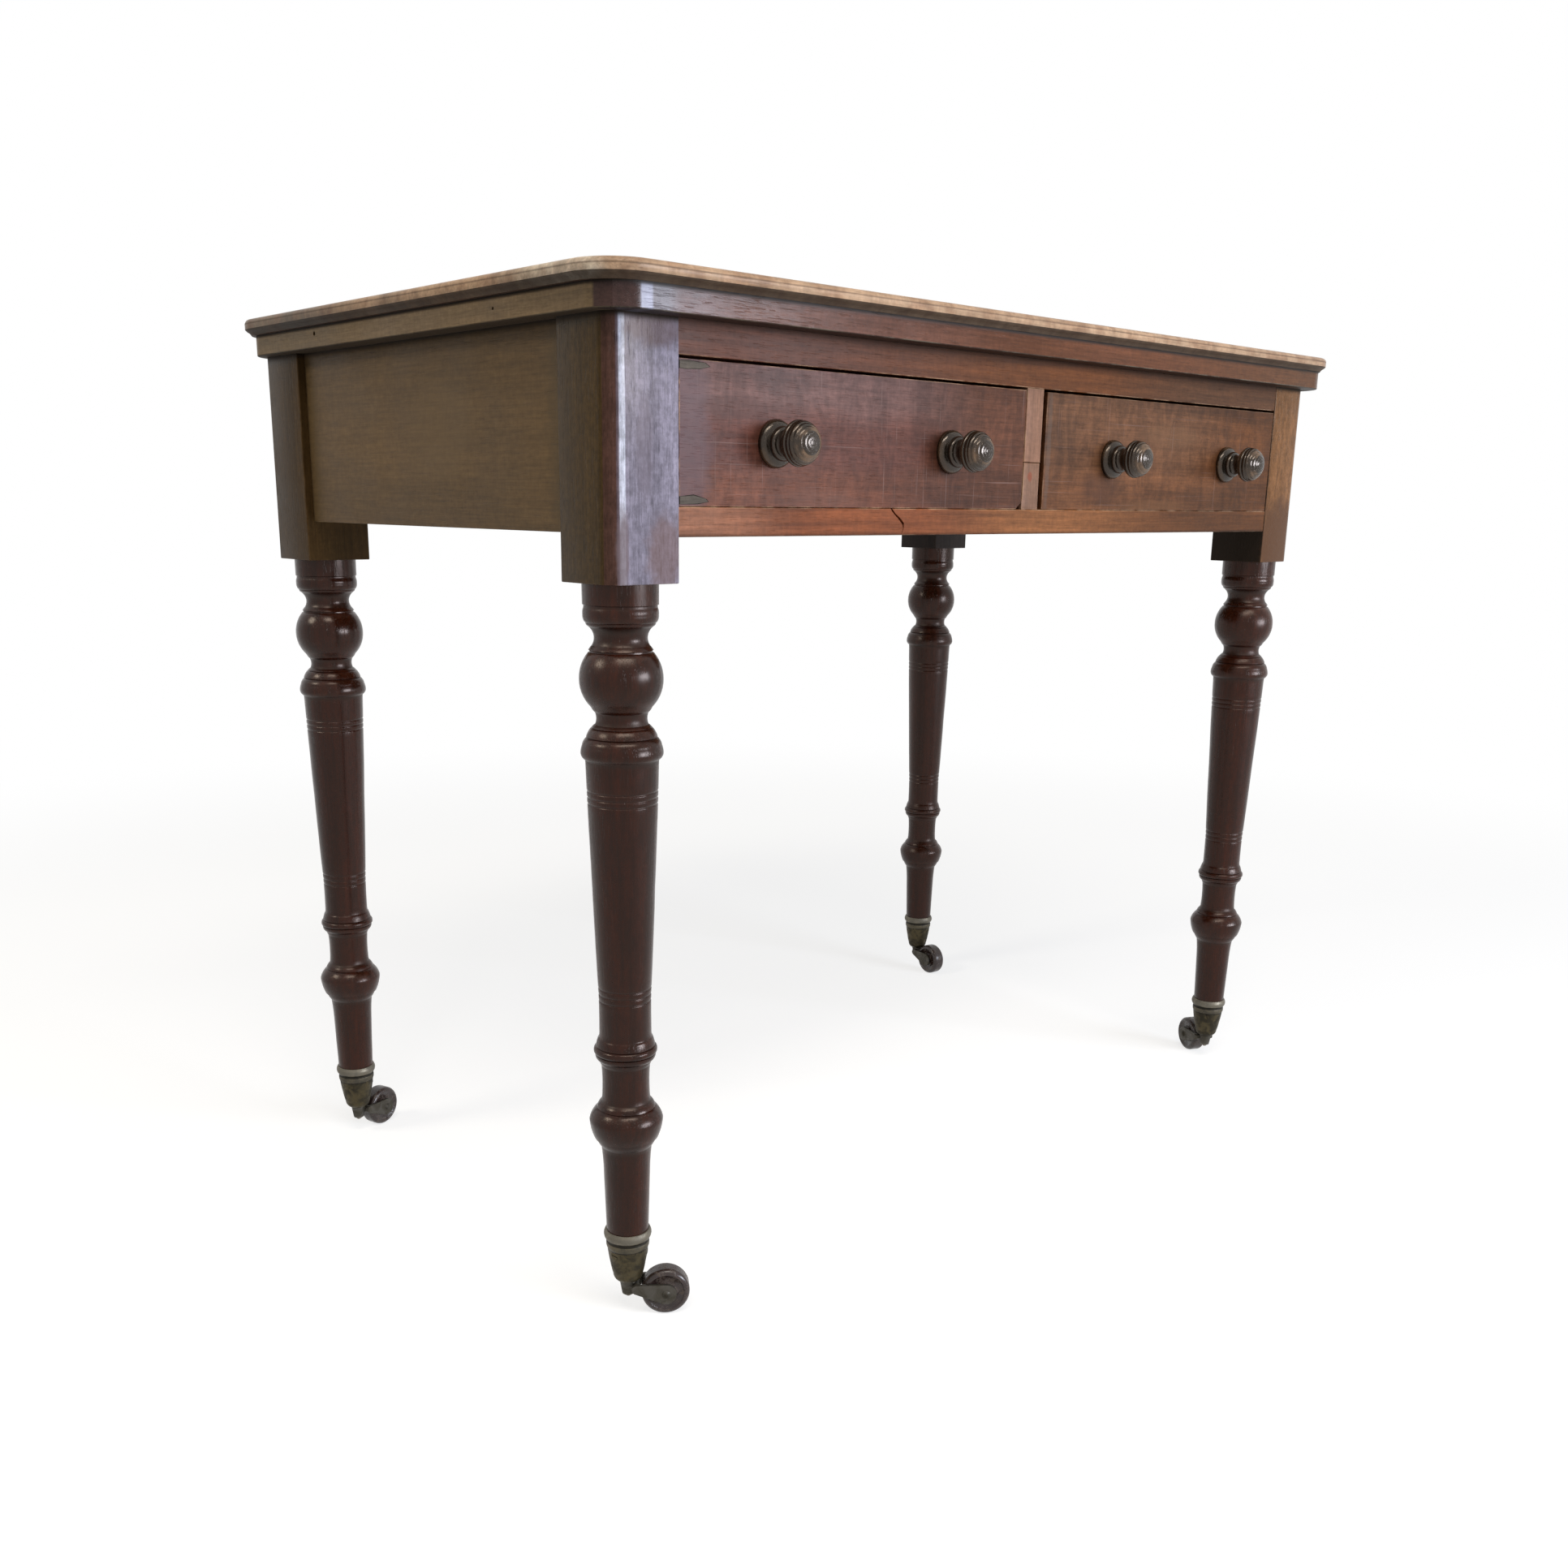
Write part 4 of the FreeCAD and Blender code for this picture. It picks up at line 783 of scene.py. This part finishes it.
def with_scribed_lines(points, heights):
    """Presses a soft groove into the outline at each height."""
    def pressed(level):
        away = [abs(level - height) / SCRIBE_WIDTH for height in heights]
        return SCRIBE_DEPTH * sum(0.5 + 0.5 * math.cos(math.pi * part) for part in away if part < 1)

    steps = range(-5, 6)
    levels = sorted((height + SCRIBE_WIDTH * step / 5 for height in heights for step in steps),
                    reverse=True)
    result = []
    for before, after in zip(points, points[1:]):
        result.append(before)
        for level in levels:
            if after.y + 0.02 * MM < level < before.y - 0.02 * MM:
                share = (before.y - level) / (before.y - after.y)
                result.append(before + (after - before) * share)
    result.append(points[-1])
    return [Vector((point.x - pressed(point.y), point.y)) for point in result]


def spaced(points, step):
    """Splits the long runs of an outline, so that wear can move them."""
    result = [points[0]]
    for before, after in zip(points, points[1:]):
        parts = max(1, int((after - before).length / step))
        for part in range(1, parts + 1):
            result.append(before + (after - before) * (part / parts))
    return result


def turning_tree():
    """Rings round an outline curve, with a little wear, in a finish."""
    tree, keys, given = new_tree("Turning", {"Sides": "Int", "Wear": "Float", "Seed": "Float",
                                             "Finish": "Material"})
    ring = add(tree, "GeometryNodeCurvePrimitiveCircle", {
        "Resolution": given["Sides"], "Radius": 1.0})
    reach = add(tree, "GeometryNodeInputRadius").outputs[0]
    sweep = add(tree, "GeometryNodeCurveToMesh", {
        "Curve": given["Geometry"], "Profile Curve": ring.outputs["Curve"], "Scale": reach,
        "Fill Caps": True})
    worn = add(tree, "ShaderNodeTexNoise", {"Scale": 38.0, "Detail": 2.0, "W": given["Seed"]},
               noise_dimensions="4D")
    centred = reckon(tree, "SUBTRACT", worn.outputs["Fac"], 0.5)
    amount = reckon(tree, "MULTIPLY", centred, given["Wear"])
    normal = add(tree, "GeometryNodeInputNormal").outputs["Normal"]
    push = add(tree, "ShaderNodeVectorMath", {0: normal, "Scale": amount}, operation="SCALE")
    moved = add(tree, "GeometryNodeSetPosition", {
        "Geometry": sweep.outputs["Mesh"], "Offset": push.outputs[0]})
    smooth = add(tree, "GeometryNodeSetShadeSmooth", {"Geometry": moved.outputs["Geometry"]})
    end_tree(tree, smooth.outputs["Geometry"], given["Finish"])
    return tree, keys


def turned_mesh(name, points, sides, wear, seed, finish):
    """A turned mesh about Z, with its crests marked for wear and its grooves for painted shade and
    dirt.
    """
    curve = bpy.data.curves.new(name + "_outline", "CURVE")
    curve.dimensions = "3D"
    spline = curve.splines.new("POLY")
    spline.points.add(len(points) - 1)
    for place, point in zip(spline.points, points):
        place.co = (0, 0, point.y, 1)
        place.radius = point.x
    mesh = node_mesh(name + "_outline", curve, turning_tree, {
        "Sides": sides, "Wear": wear, "Seed": seed, "Finish": finish_of(finish)})
    mesh.name = name
    mark_turned(mesh, points)
    return mesh


def mark_turned(mesh, points):
    """Marks each corner of a turned mesh by how far the outline there stands out or in."""
    def stand(point):
        around = [other.x for other in points if abs(other.y - point.y) < 4 * MM]
        return point.x - sum(around) / len(around)

    widest = max(point.x for point in points)
    ordered = sorted(points, key=lambda point: point.y)
    heights = [point.y for point in ordered]
    stands = [stand(point) if point.x > 0.5 * widest else 0.0 for point in ordered]

    def nearest_stand(place):
        spot = bisect_left(heights, place.z)
        reach = math.hypot(place.x, place.y)
        choices = range(max(0, spot - 1), min(len(ordered), spot + 2))
        best = min(choices, key=lambda item: abs(heights[item] - place.z)
                   + abs(ordered[item].x - reach))
        return stands[best]

    values = [nearest_stand(vertex.co) for vertex in mesh.vertices]
    # Crests that stand out are rubbed; sunken places darken as painted shade, with some dirt
    for label, whole in (("arris", 1.8 * MM), ("shade_and_dirt", -2.4 * MM)):
        mark(mesh, label, [max(0.0, min(1.0, values[loop.vertex_index] / whole))
                           for loop in mesh.loops])
    mesh.set_sharp_from_angle(angle=math.radians(38))


def rounded_square(low, high, round_corner):
    """The post's outline: a front post's outer corner has a large round, the others a small one."""
    points = []
    for sx, sy in ((-1, -1), (1, -1), (1, 1), (-1, 1)):
        large = (sx, sy) == round_corner and sy < 0
        reach, steps = (POST_ROUND, 14) if large else (POST_CORNER, 3)
        corner = Vector((high.x if sx > 0 else low.x, high.y if sy > 0 else low.y))
        centre = Vector((corner.x - sx * reach, corner.y - sy * reach))
        start = math.atan2(sy, sx) - math.radians(45)
        for step in range(steps + 1):
            angle = start + math.radians(90) * step / steps
            points.append((centre.x + reach * math.cos(angle), centre.y + reach * math.sin(angle)))
    return points


class DESK_OT_top_board(bpy.types.Operator):
    """Make the top board with its moulded and rubbed edge"""
    bl_idname = "desk.top_board"
    bl_label = "Top board"

    def execute(self, context):
        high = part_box("top_board")[1]

        def edge_face(face):
            middle = face.calc_center_median()
            flat = abs(face.normal.z) > 0.999
            upper = middle.z > high.z - 1 * MM
            return 0.0 if flat and (upper or abs(middle.x) < 0.4) else 1.0

        dress("top_board", "Top wood", arris=edge_face, shade_and_dirt=underside, below="Top underside wood")
        return {"FINISHED"}


class DESK_OT_top_band(bpy.types.Operator):
    """Make the plain band under the top, with its nail holes"""
    bl_idname = "desk.top_band"
    bl_label = "Top band"

    def execute(self, context):
        for side in ("front", "back", "left", "right"):
            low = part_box("top_band_" + side)[0]
            at_bottom = on_level(2, low.z)

            def lower_edge(edge):
                middle = (edge.verts[0].co + edge.verts[1].co) / 2
                outer = abs(middle.x) > 0.439 or middle.y < -0.25 or middle.y > 0.262
                return at_bottom(edge) and outer

            name = "Front band wood" if side == "front" else "Side band wood"
            piece = dress("top_band_" + side, name, softened=lower_edge, arris=sloping,
                          shade_and_dirt=underside)
            if side == "left":
                for y, z, radius in ((0.1384, 0.7324, 0.0021), (-0.1259, 0.7301, 0.0014)):
                    drill(piece, Vector((low.x, y, z)), Vector((1, 0, 0)), radius, 0.006)
        return {"FINISHED"}


class DESK_OT_legs(bpy.types.Operator):
    """Make the four legs: a square post above and turned work below"""
    bl_idname = "desk.legs"
    bl_label = "Legs"

    def execute(self, context):
        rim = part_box("caster_cup_front_left")[1].z
        low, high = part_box("leg_front_left")
        post_low = high.z - POST_LENGTH
        turned = post_low - rim
        outline = outline_points(LEG_SHARES, post_low, turned, (high.x - low.x) / 2, 7)
        scribes = [post_low - share * turned for share in SCRIBE_SHARES]
        outline = with_scribed_lines(outline, scribes)
        foot = [Vector((0.0153, rim - 0.05 * MM)), Vector((0.0102, low.z + 0.3 * MM))]
        outline = spaced(outline + foot, 3 * MM)
        for index, corner in enumerate(CORNERS):
            leg = turned_mesh("turned_leg_" + corner, outline, sizes().leg_sides,
                              sizes().leg_wobble * 2, 3.0 + index, "Leg wood")
            leg.transform(Matrix.Translation((*leg_axis(corner), 0)))
            piece = new_piece("finished_leg_" + corner, leg, "desk_frame", "Leg wood")
            outer = (1 if "right" in corner else -1, 1 if "back" in corner else -1)
            bm = prism(rounded_square(*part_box("leg_" + corner), outer), post_low, high.z)
            soften_edges(bm, POST_LOWER_EDGE, on_level(2, post_low))
            post = finished_mesh(bm, "post_" + corner, arris=slanted_post)
            # The back posts take darker finishes of painted shade, the right one near black
            names = {"back_right": "Back post wood", "back_left": "Side post wood"}
            name = names.get(corner, "Post wood")
            joined(piece, new_piece("post_" + corner, post, "desk_frame", name))
            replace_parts(piece, "leg_" + corner)
        return {"FINISHED"}


class DESK_OT_aprons(bpy.types.Operator):
    """Make the side and back aprons between the posts"""
    bl_idname = "desk.aprons"
    bl_label = "Aprons"

    def execute(self, context):
        dress("apron_left", "Side wood")
        dress("apron_right", "Side wood")
        dress("apron_back", "Back wood")
        return {"FINISHED"}


class DESK_OT_front_rails(bpy.types.Operator):
    """Make the rails above and below the drawers, with the crack in the lower one"""
    bl_idname = "desk.front_rails"
    bl_label = "Front rails"

    def execute(self, context):
        dress("top_rail", "Top rail wood")
        rail = dress("bottom_rail", "Bottom rail wood")
        low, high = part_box("bottom_rail")
        # Places along the crack, and how wide it is there as a share of its usual width
        way = ((-0.1722, high.z + MM, 0.7), (-0.1708, 0.6012, 1.0), (-0.1670, 0.5980, 0.8),
               (-0.1622, 0.5948, 1.2), (-0.1580, 0.5912, 1.3), (-0.1574, 0.5880, 0.9),
               (-0.1586, 0.5850, 1.1), (-0.1612, low.z - MM, 1.0))
        half = sizes().crack / 2
        left = [(x - half * share, z - half * share) for x, z, share in way]
        right = [(x + half * share, z + half * share) for x, z, share in way]
        cut_with(rail, "crack", prism(left + right[::-1], low.y - MM, low.y + 5 * MM, "Y"))
        return {"FINISHED"}


class DESK_OT_muntin(bpy.types.Operator):
    """Make the upright between the drawers, broken across and set a little off"""
    bl_idname = "desk.muntin"
    bl_label = "Centre muntin"

    def execute(self, context):
        low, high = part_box("centre_muntin")
        front, rail_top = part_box("bottom_rail")[0].y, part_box("bottom_rail")[1].z
        rail_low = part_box("top_rail")[0].z
        split = 0.6402
        upper = [(low.x, split + 0.35 * MM), (high.x, split + 0.1 * MM), (high.x, rail_low),
                 (low.x, rail_low)]
        lower = [(low.x - 0.2 * MM, rail_top), (high.x - 0.6 * MM, rail_top),
                 (high.x - 0.6 * MM, split - 0.3 * MM), (low.x + 0.3 * MM, split - 0.1 * MM),
                 (low.x + 0.2 * MM, 0.6105), (low.x - 0.7 * MM, 0.6095)]
        pieces = []
        for name, outline in (("muntin_upper", upper), ("muntin_lower", lower)):
            bm = prism(outline, front, high.y, "Y")
            soften_edges(bm, sizes().arris, on_level(1, front))
            pieces.append(new_piece(name, finished_mesh(bm, name), "desk_frame", "Muntin wood"))
        muntin = joined(*pieces)
        muntin.name = "finished_centre_muntin"
        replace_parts(muntin, "centre_muntin")
        return {"FINISHED"}


class DESK_OT_drawer_fronts(bpy.types.Operator):
    """Make the drawer fronts, with the repairs and the chip of the left one"""
    bl_idname = "desk.drawer_fronts"
    bl_label = "Drawer fronts"

    def execute(self, context):
        dress("drawer_right_front", "Right drawer wood")
        front = dress("drawer_left_front", "Left drawer wood")
        low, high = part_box("drawer_left_front")
        chip = ((1.0, -1.0), (1.0, 5.0), (-1.4, 4.6), (-3.2, 2.9), (-5.2, 1.9), (-7.2, -1.0))
        chip = [(high.x + x * MM, low.z + z * MM) for x, z in chip]
        cut_with(front, "chip", prism(chip, low.y - MM, low.y + 8 * MM, "Y"))
        for name, outline in (
            ("top", ((0, 0.6955), (0.008, 0.6958), (0.0215, 0.6951), (0.0255, 0.6930),
                     (0.0170, 0.6912), (0.006, 0.6906), (0, 0.6908))),
            ("bottom", ((0, 0.6092), (0.012, 0.6100), (0.0225, 0.6078), (0.0245, 0.6060),
                        (0.0150, 0.6047), (0, 0.6042))),
        ):
            outline = [Vector((low.x + 0.6 * MM + x, z)) for x, z in outline]
            middle = sum(outline, Vector((0, 0))) / len(outline)
            for label, layer, spread, proud in (("line", "Old glue line", 0.7 * MM, 0.04 * MM),
                                                ("patch", "Repair wood", 0.0, 0.09 * MM)):
                grown = [place + (place - middle).normalized() * spread for place in outline]
                mesh = finished_mesh(prism(grown, low.y - proud, low.y + MM, "Y"), "repair")
                new_piece("drawer_left_%s_repair_%s" % (name, label), mesh, "drawer_left", layer)
        return {"FINISHED"}


class DESK_OT_drawer_boxes(bpy.types.Operator):
    """Finish the sides, backs and bottoms of the drawers in bare wood"""
    bl_idname = "desk.drawer_boxes"
    bl_label = "Drawer boxes"

    def execute(self, context):
        for side in SIDES:
            for part in ("side_left", "side_right", "back", "bottom"):
                coat_node("drawer_%s_%s" % (side, part), "Lining wood")
        return {"FINISHED"}


class DESK_OT_knobs(bpy.types.Operator):
    """Turn the four dark knobs"""
    bl_idname = "desk.knobs"
    bl_label = "Knobs"

    def execute(self, context):
        for index, (side, which) in enumerate((a, b) for a in SIDES for b in SIDES):
            node = "drawer_%s_knob_%s" % (side, which)
            low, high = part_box(node)
            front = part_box("drawer_%s_front" % side)[0].y
            # A little short of the CAD knob, so that the wear of the tip stays inside it
            reach = front - low.y - 0.16 * MM
            radius = (high.z - low.z) / 2 / KNOB_SHARES[1][1]
            outline = outline_points(KNOB_SHARES, 0, reach, radius, 6)
            mesh = turned_mesh(node, outline, 72, 0.12 * MM, 20.0 + index, "Knob wood")
            spin = Matrix.Rotation(math.radians(37 * index), 4, "Z")
            lie = Matrix.Rotation(math.radians(-90), 4, "X")
            place = Matrix.Translation(((low.x + high.x) / 2, front, (low.z + high.z) / 2))
            mesh.transform(place @ lie @ spin)
            piece = new_piece("finished_" + node, mesh, "drawer_" + side, "Knob wood")
            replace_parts(piece, node)
        return {"FINISHED"}


class DESK_OT_inner_frame(bpy.types.Operator):
    """Finish the runners, guides, kickers, stops and blocks in bare wood"""
    bl_idname = "desk.inner_frame"
    bl_label = "Inner frame"

    def execute(self, context):
        for node in frame["nodes"]:
            if node.startswith(("drawer_runner", "drawer_guide", "drawer_kicker", "drawer_stops",
                                "glue_blocks")):
                coat_node(node, "Inner frame wood")
        return {"FINISHED"}


class DESK_OT_casters(bpy.types.Operator):
    """Make the brass cups and horns, the rollers and their axles"""
    bl_idname = "desk.casters"
    bl_label = "Casters"

    def execute(self, context):
        low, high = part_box("caster_cup_front_left")

        def drop(face):
            return (high.z - face.calc_center_median().z) / (high.z - low.z)

        def rolled(face):
            return 0.9 if drop(face) < 0.15 else 0.3 if 0.23 < drop(face) < 0.33 else 0.0

        def grooved(face):
            return 1.0 if 0.16 < drop(face) < 0.225 or 0.335 < drop(face) < 0.36 else 0.0

        def horn_edge(face):
            return 1.0 if face.calc_area() < HORN_EDGE_AREA else 0.2

        for corner in CORNERS:
            dress("caster_cup_" + corner, "Cup brass", arris=rolled, shade_and_dirt=grooved)
            dress("caster_horn_" + corner, "Horn brass", softened=lambda edge: True,
                  width=0.3 * MM, arris=horn_edge)
            dress("caster_wheel_" + corner, "Roller china")
            dress("caster_axle_" + corner, "Horn brass", arris=clean)
        coat_node("caster_spindles", "Dull steel")
        return {"FINISHED"}


def screw_tree():
    """Slotted screws on points, each aimed along the point's own direction."""
    tree, keys, given = new_tree("Screws", {
        "Head radius": "Float", "Shank radius": "Float", "Length": "Float", "Slot width": "Float",
        "Seed": "Int", "Finish": "Material"})

    def times(value, factor):
        return reckon(tree, "MULTIPLY", value, factor)

    def vector(**parts):
        return add(tree, "ShaderNodeCombineXYZ", parts).outputs[0]

    sink = reckon(tree, "SUBTRACT", given["Head radius"], given["Shank radius"])
    head = add(tree, "GeometryNodeMeshCone", {
        "Vertices": 28, "Radius Bottom": given["Shank radius"], "Radius Top": given["Head radius"],
        "Depth": sink})
    lowered = add(tree, "GeometryNodeTransform", {
        "Geometry": head.outputs["Mesh"], "Translation": vector(Z=times(sink, -1.0))})
    slot = given["Slot width"]
    blade = add(tree, "GeometryNodeMeshCube", {
        "Size": vector(X=times(given["Head radius"], 3.0), Y=slot, Z=times(slot, 1.5))})
    slotted = add(tree, "GeometryNodeMeshBoolean", {
        "Mesh 1": lowered.outputs["Geometry"], "Mesh 2": blade.outputs["Mesh"]},
        operation="DIFFERENCE")
    rest = reckon(tree, "SUBTRACT", given["Length"], sink)
    shank = add(tree, "GeometryNodeMeshCylinder", {
        "Vertices": 16, "Radius": times(given["Shank radius"], 0.98), "Depth": times(rest, 0.96)})
    middle = reckon(tree, "ADD", times(rest, -0.5), times(sink, -1.0))
    sunk = add(tree, "GeometryNodeTransform", {
        "Geometry": shank.outputs["Mesh"], "Translation": vector(Z=middle)})
    whole = add(tree, "GeometryNodeJoinGeometry", {"Geometry": slotted.outputs["Mesh"]})
    put(tree, whole.inputs["Geometry"], sunk.outputs["Geometry"])

    aim = add(tree, "GeometryNodeInputNamedAttribute", {"Name": "aim"}, data_type="FLOAT_VECTOR")
    facing = add(tree, "FunctionNodeAlignRotationToVector", {"Vector": aim.outputs["Attribute"]},
                 axis="Z")
    chance = add(tree, "FunctionNodeRandomValue", {2: 0.0, 3: math.pi, "Seed": given["Seed"]},
                 data_type="FLOAT")
    roll = add(tree, "FunctionNodeAxisAngleToRotation", {
        "Axis": (0, 0, 1), "Angle": chance.outputs[1]})
    rolled = add(tree, "FunctionNodeRotateRotation", {
        "Rotation": facing.outputs["Rotation"], "Rotate By": roll.outputs["Rotation"]},
        rotation_space="LOCAL")
    spread = add(tree, "GeometryNodeInstanceOnPoints", {
        "Points": given["Geometry"], "Instance": whole.outputs["Geometry"],
        "Rotation": rolled.outputs["Rotation"]})
    end_tree(tree, spread.outputs["Instances"], given["Finish"])
    return tree, keys


def islands(node):
    """The points of each separate solid of a CAD node."""
    bm = merged_copy(node)
    left = set(bm.verts)
    groups = []
    while left:
        todo = [left.pop()]
        group = []
        while todo:
            vertex = todo.pop()
            group.append(vertex.co.copy())
            for edge in vertex.link_edges:
                other = edge.other_vert(vertex)
                if other in left:
                    left.remove(other)
                    todo.append(other)
        groups.append(group)
    bm.free()
    return groups


def screws(node, heads, radius, shank, length, seed, finish):
    """Replaces a node of screws: each head is (the middle of its face, its direction outwards)."""
    points = bpy.data.meshes.new(node + "_points")
    points.from_pydata([place for place, aim in heads], [], [])
    aims = points.attributes.new("aim", "FLOAT_VECTOR", "POINT")
    for item, (place, aim) in zip(aims.data, heads):
        item.vector = aim
    made = node_mesh(node + "_points", points, screw_tree, {
        "Head radius": radius, "Shank radius": shank, "Length": length, "Slot width": 0.8 * MM,
        "Seed": seed, "Finish": finish_of(finish)})
    bm = bmesh.new()
    bm.from_mesh(made)
    bpy.data.meshes.remove(made)
    bmesh.ops.recalc_face_normals(bm, faces=bm.faces)
    mesh = finished_mesh(bm, node, arris=clean)
    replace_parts(new_piece("finished_" + node, mesh, "desk_frame", finish), node)


class DESK_OT_screws(bpy.types.Operator):
    """Make the screws of the cups and of the top"""
    bl_idname = "desk.screws"
    bl_label = "Screws"

    def execute(self, context):
        heads = []
        for points in islands("caster_screws"):
            middle = sum(points, Vector()) / len(points)
            axes = [Vector((*leg_axis(corner), 0)) for corner in CORNERS]
            axis = min(axes, key=lambda place: (middle.xy - place.xy).length)
            outward = Vector((middle.x - axis.x, middle.y - axis.y, 0)).normalized()
            reach = max((point - axis).dot(outward) for point in points)
            level = (max(point.z for point in points) + min(point.z for point in points)) / 2
            heads.append((axis + outward * reach + Vector((0, 0, level)), outward))
        screws("caster_screws", heads, 2.85 * MM, 1.45 * MM, 9.0 * MM, 4, "Cup brass")
        heads = []
        for points in islands("top_screws"):
            middle = sum(points, Vector()) / len(points)
            level = min(point.z for point in points)
            heads.append((Vector((middle.x, middle.y, level)), Vector((0, 0, -1))))
        length = max(point.z for point in points) - level
        screws("top_screws", heads, 4.1 * MM, 2.1 * MM, length, 9, "Dull steel")
        return {"FINISHED"}


# The studio. Each lamp is a name, a place, what it points at, its width and height in metres,
# how bright its face is and its tint
LAMPS = (
    ("window", (0.98, -2.92, 0.84), (-0.30, -0.20, 0.62), 1.5, 0.68, 26.0, (0.82, 0.88, 1.0)),
    ("overhead", (-0.95, -1.65, 3.00), (-0.20, 0.0, 0.55), 2.2, 0.7, 10.5, (1.0, 0.93, 0.83)),
    ("fill", (-2.60, 0.75, 2.20), (-0.30, 0.0, 0.45), 0.9, 0.7, 13.0, (1.0, 0.94, 0.80)),
)
CAMERA_PLACE = (-1.0168, -1.02175, 0.6078)
CAMERA_ACROSS = (0.74065695, -0.67177645, 0.01198703)
CAMERA_UPWARD = (0.15812338, 0.19162087, 0.96864774)
CAMERA_BACK = (-0.6530117, -0.71554025, 0.24814889)
CAMERA_SETTINGS = {"sensor_width": 36.0, "lens": 33.545, "shift_x": 0.01534, "shift_y": 0.05736,
                   "clip_start": 0.01, "clip_end": 100}


def pick_seen(tree, unseen, seen):
    """Shows one shader to the camera, straight, by gloss or through glass, and one to the light."""
    path = add(tree, "ShaderNodeLightPath").outputs
    straight = reckon(tree, "MAXIMUM", path["Is Camera Ray"], path["Is Glossy Ray"])
    either = reckon(tree, "MAXIMUM", straight, path["Is Transmission Ray"])
    return add(tree, "ShaderNodeMixShader", {0: either, 1: unseen, 2: seen}).outputs[0]


class DESK_OT_studio(bpy.types.Operator):
    """Set the pale floor, the soft lamps and the camera"""
    bl_idname = "desk.studio"
    bl_label = "Studio"

    def execute(self, context):
        context.scene.view_settings.view_transform = "Standard"
        self.floor()
        self.world(context.scene)
        for name, place, target, width, height, radiance, tint in LAMPS:
            lamp = bpy.data.lights.new(name, "AREA")
            lamp.shape = "RECTANGLE"
            lamp.size = width
            lamp.size_y = height
            lamp.energy = radiance * math.pi * width * height
            lamp.color = tint
            thing = in_scene(name, lamp)
            thing.location = place
            aim = (Vector(target) - Vector(place)).to_track_quat("-Z", "Y")
            thing.rotation_euler = aim.to_euler()
            thing.visible_camera = False
        self.camera(context.scene)
        return {"FINISHED"}

    def floor(self):
        bm = bmesh.new()
        bmesh.ops.create_circle(bm, cap_ends=True, segments=96, radius=9.0)
        mesh = mesh_of("studio_floor", bm)
        paint = bpy.data.materials.new("Studio floor")
        paint.use_nodes = True
        tree = paint.node_tree
        tree.nodes.clear()
        matt = add(tree, "ShaderNodeBsdfDiffuse", {"Color": "floor"})
        soft = add(tree, "ShaderNodeBsdfDiffuse", {"Color": (0.42, 0.42, 0.42)})
        glow = add(tree, "ShaderNodeEmission", {"Strength": 0.74})
        shown = add(tree, "ShaderNodeAddShader", {0: soft.outputs[0], 1: glow.outputs[0]})
        white = add(tree, "ShaderNodeEmission")
        place = add(tree, "ShaderNodeTexCoord").outputs["Object"]
        length = add(tree, "ShaderNodeVectorMath", {0: place}, operation="LENGTH")
        fade = add(tree, "ShaderNodeMapRange", {
            "Value": length.outputs["Value"], "From Min": 0.9, "From Max": 2.4},
            interpolation_type="SMOOTHSTEP")
        faded = add(tree, "ShaderNodeMixShader", {
            0: fade.outputs["Result"], 1: shown.outputs[0], 2: white.outputs[0]})
        surface = pick_seen(tree, matt.outputs[0], faded.outputs[0])
        add(tree, "ShaderNodeOutputMaterial", {"Surface": surface})
        mesh.materials.append(paint)
        in_scene("studio_floor", mesh)

    def world(self, scene):
        scene.world = bpy.data.worlds.new("Studio")
        scene.world.use_nodes = True
        tree = scene.world.node_tree
        tree.nodes.clear()
        dim = add(tree, "ShaderNodeBackground", {"Color": (1, 1, 1), "Strength": 0.12})
        white = add(tree, "ShaderNodeBackground", {"Color": (1, 1, 1), "Strength": 1.0})
        surface = pick_seen(tree, dim.outputs[0], white.outputs[0])
        add(tree, "ShaderNodeOutputWorld", {"Surface": surface})

    def camera(self, scene):
        data = bpy.data.cameras.new("camera")
        for name, value in CAMERA_SETTINGS.items():
            setattr(data, name, value)
        scene.camera = in_scene("camera", data)
        turn = Matrix((CAMERA_ACROSS, CAMERA_UPWARD, CAMERA_BACK)).transposed().to_4x4()
        scene.camera.matrix_world = Matrix.Translation(CAMERA_PLACE) @ turn


class DESK_PT_panel(bpy.types.Panel):
    """The desk's sizes, colours and buttons"""
    bl_idname = "DESK_PT_panel"
    bl_label = "Writing desk"
    bl_space_type = "VIEW_3D"
    bl_region_type = "UI"
    bl_category = "Desk"

    def draw(self, context):
        for holder in (context.scene.desk_sizes, context.scene.desk_colours):
            for name in holder.bl_rna.properties.keys():
                if name not in ("rna_type", "name"):
                    self.layout.prop(holder, name)
        for button in OPERATORS:
            self.layout.operator(button.bl_idname)


OPERATORS = (
    DESK_OT_top_board, DESK_OT_top_band, DESK_OT_legs, DESK_OT_aprons, DESK_OT_front_rails,
    DESK_OT_muntin, DESK_OT_drawer_fronts, DESK_OT_drawer_boxes, DESK_OT_knobs,
    DESK_OT_inner_frame, DESK_OT_casters, DESK_OT_screws, DESK_OT_studio,
)
CLASSES = (DeskColours, DeskSizes) + OPERATORS + (DESK_PT_panel,)


def register():
    for item in CLASSES:
        bpy.utils.register_class(item)
    bpy.types.Scene.desk_colours = PointerProperty(type=DeskColours)
    bpy.types.Scene.desk_sizes = PointerProperty(type=DeskSizes)


def unregister():
    del bpy.types.Scene.desk_colours
    del bpy.types.Scene.desk_sizes
    for item in reversed(CLASSES):
        bpy.utils.unregister_class(item)


def main():
    register()
    for button in OPERATORS:
        group, name = button.bl_idname.split(".")
        getattr(getattr(bpy.ops, group), name)()


if __name__ == "__main__":
    main()
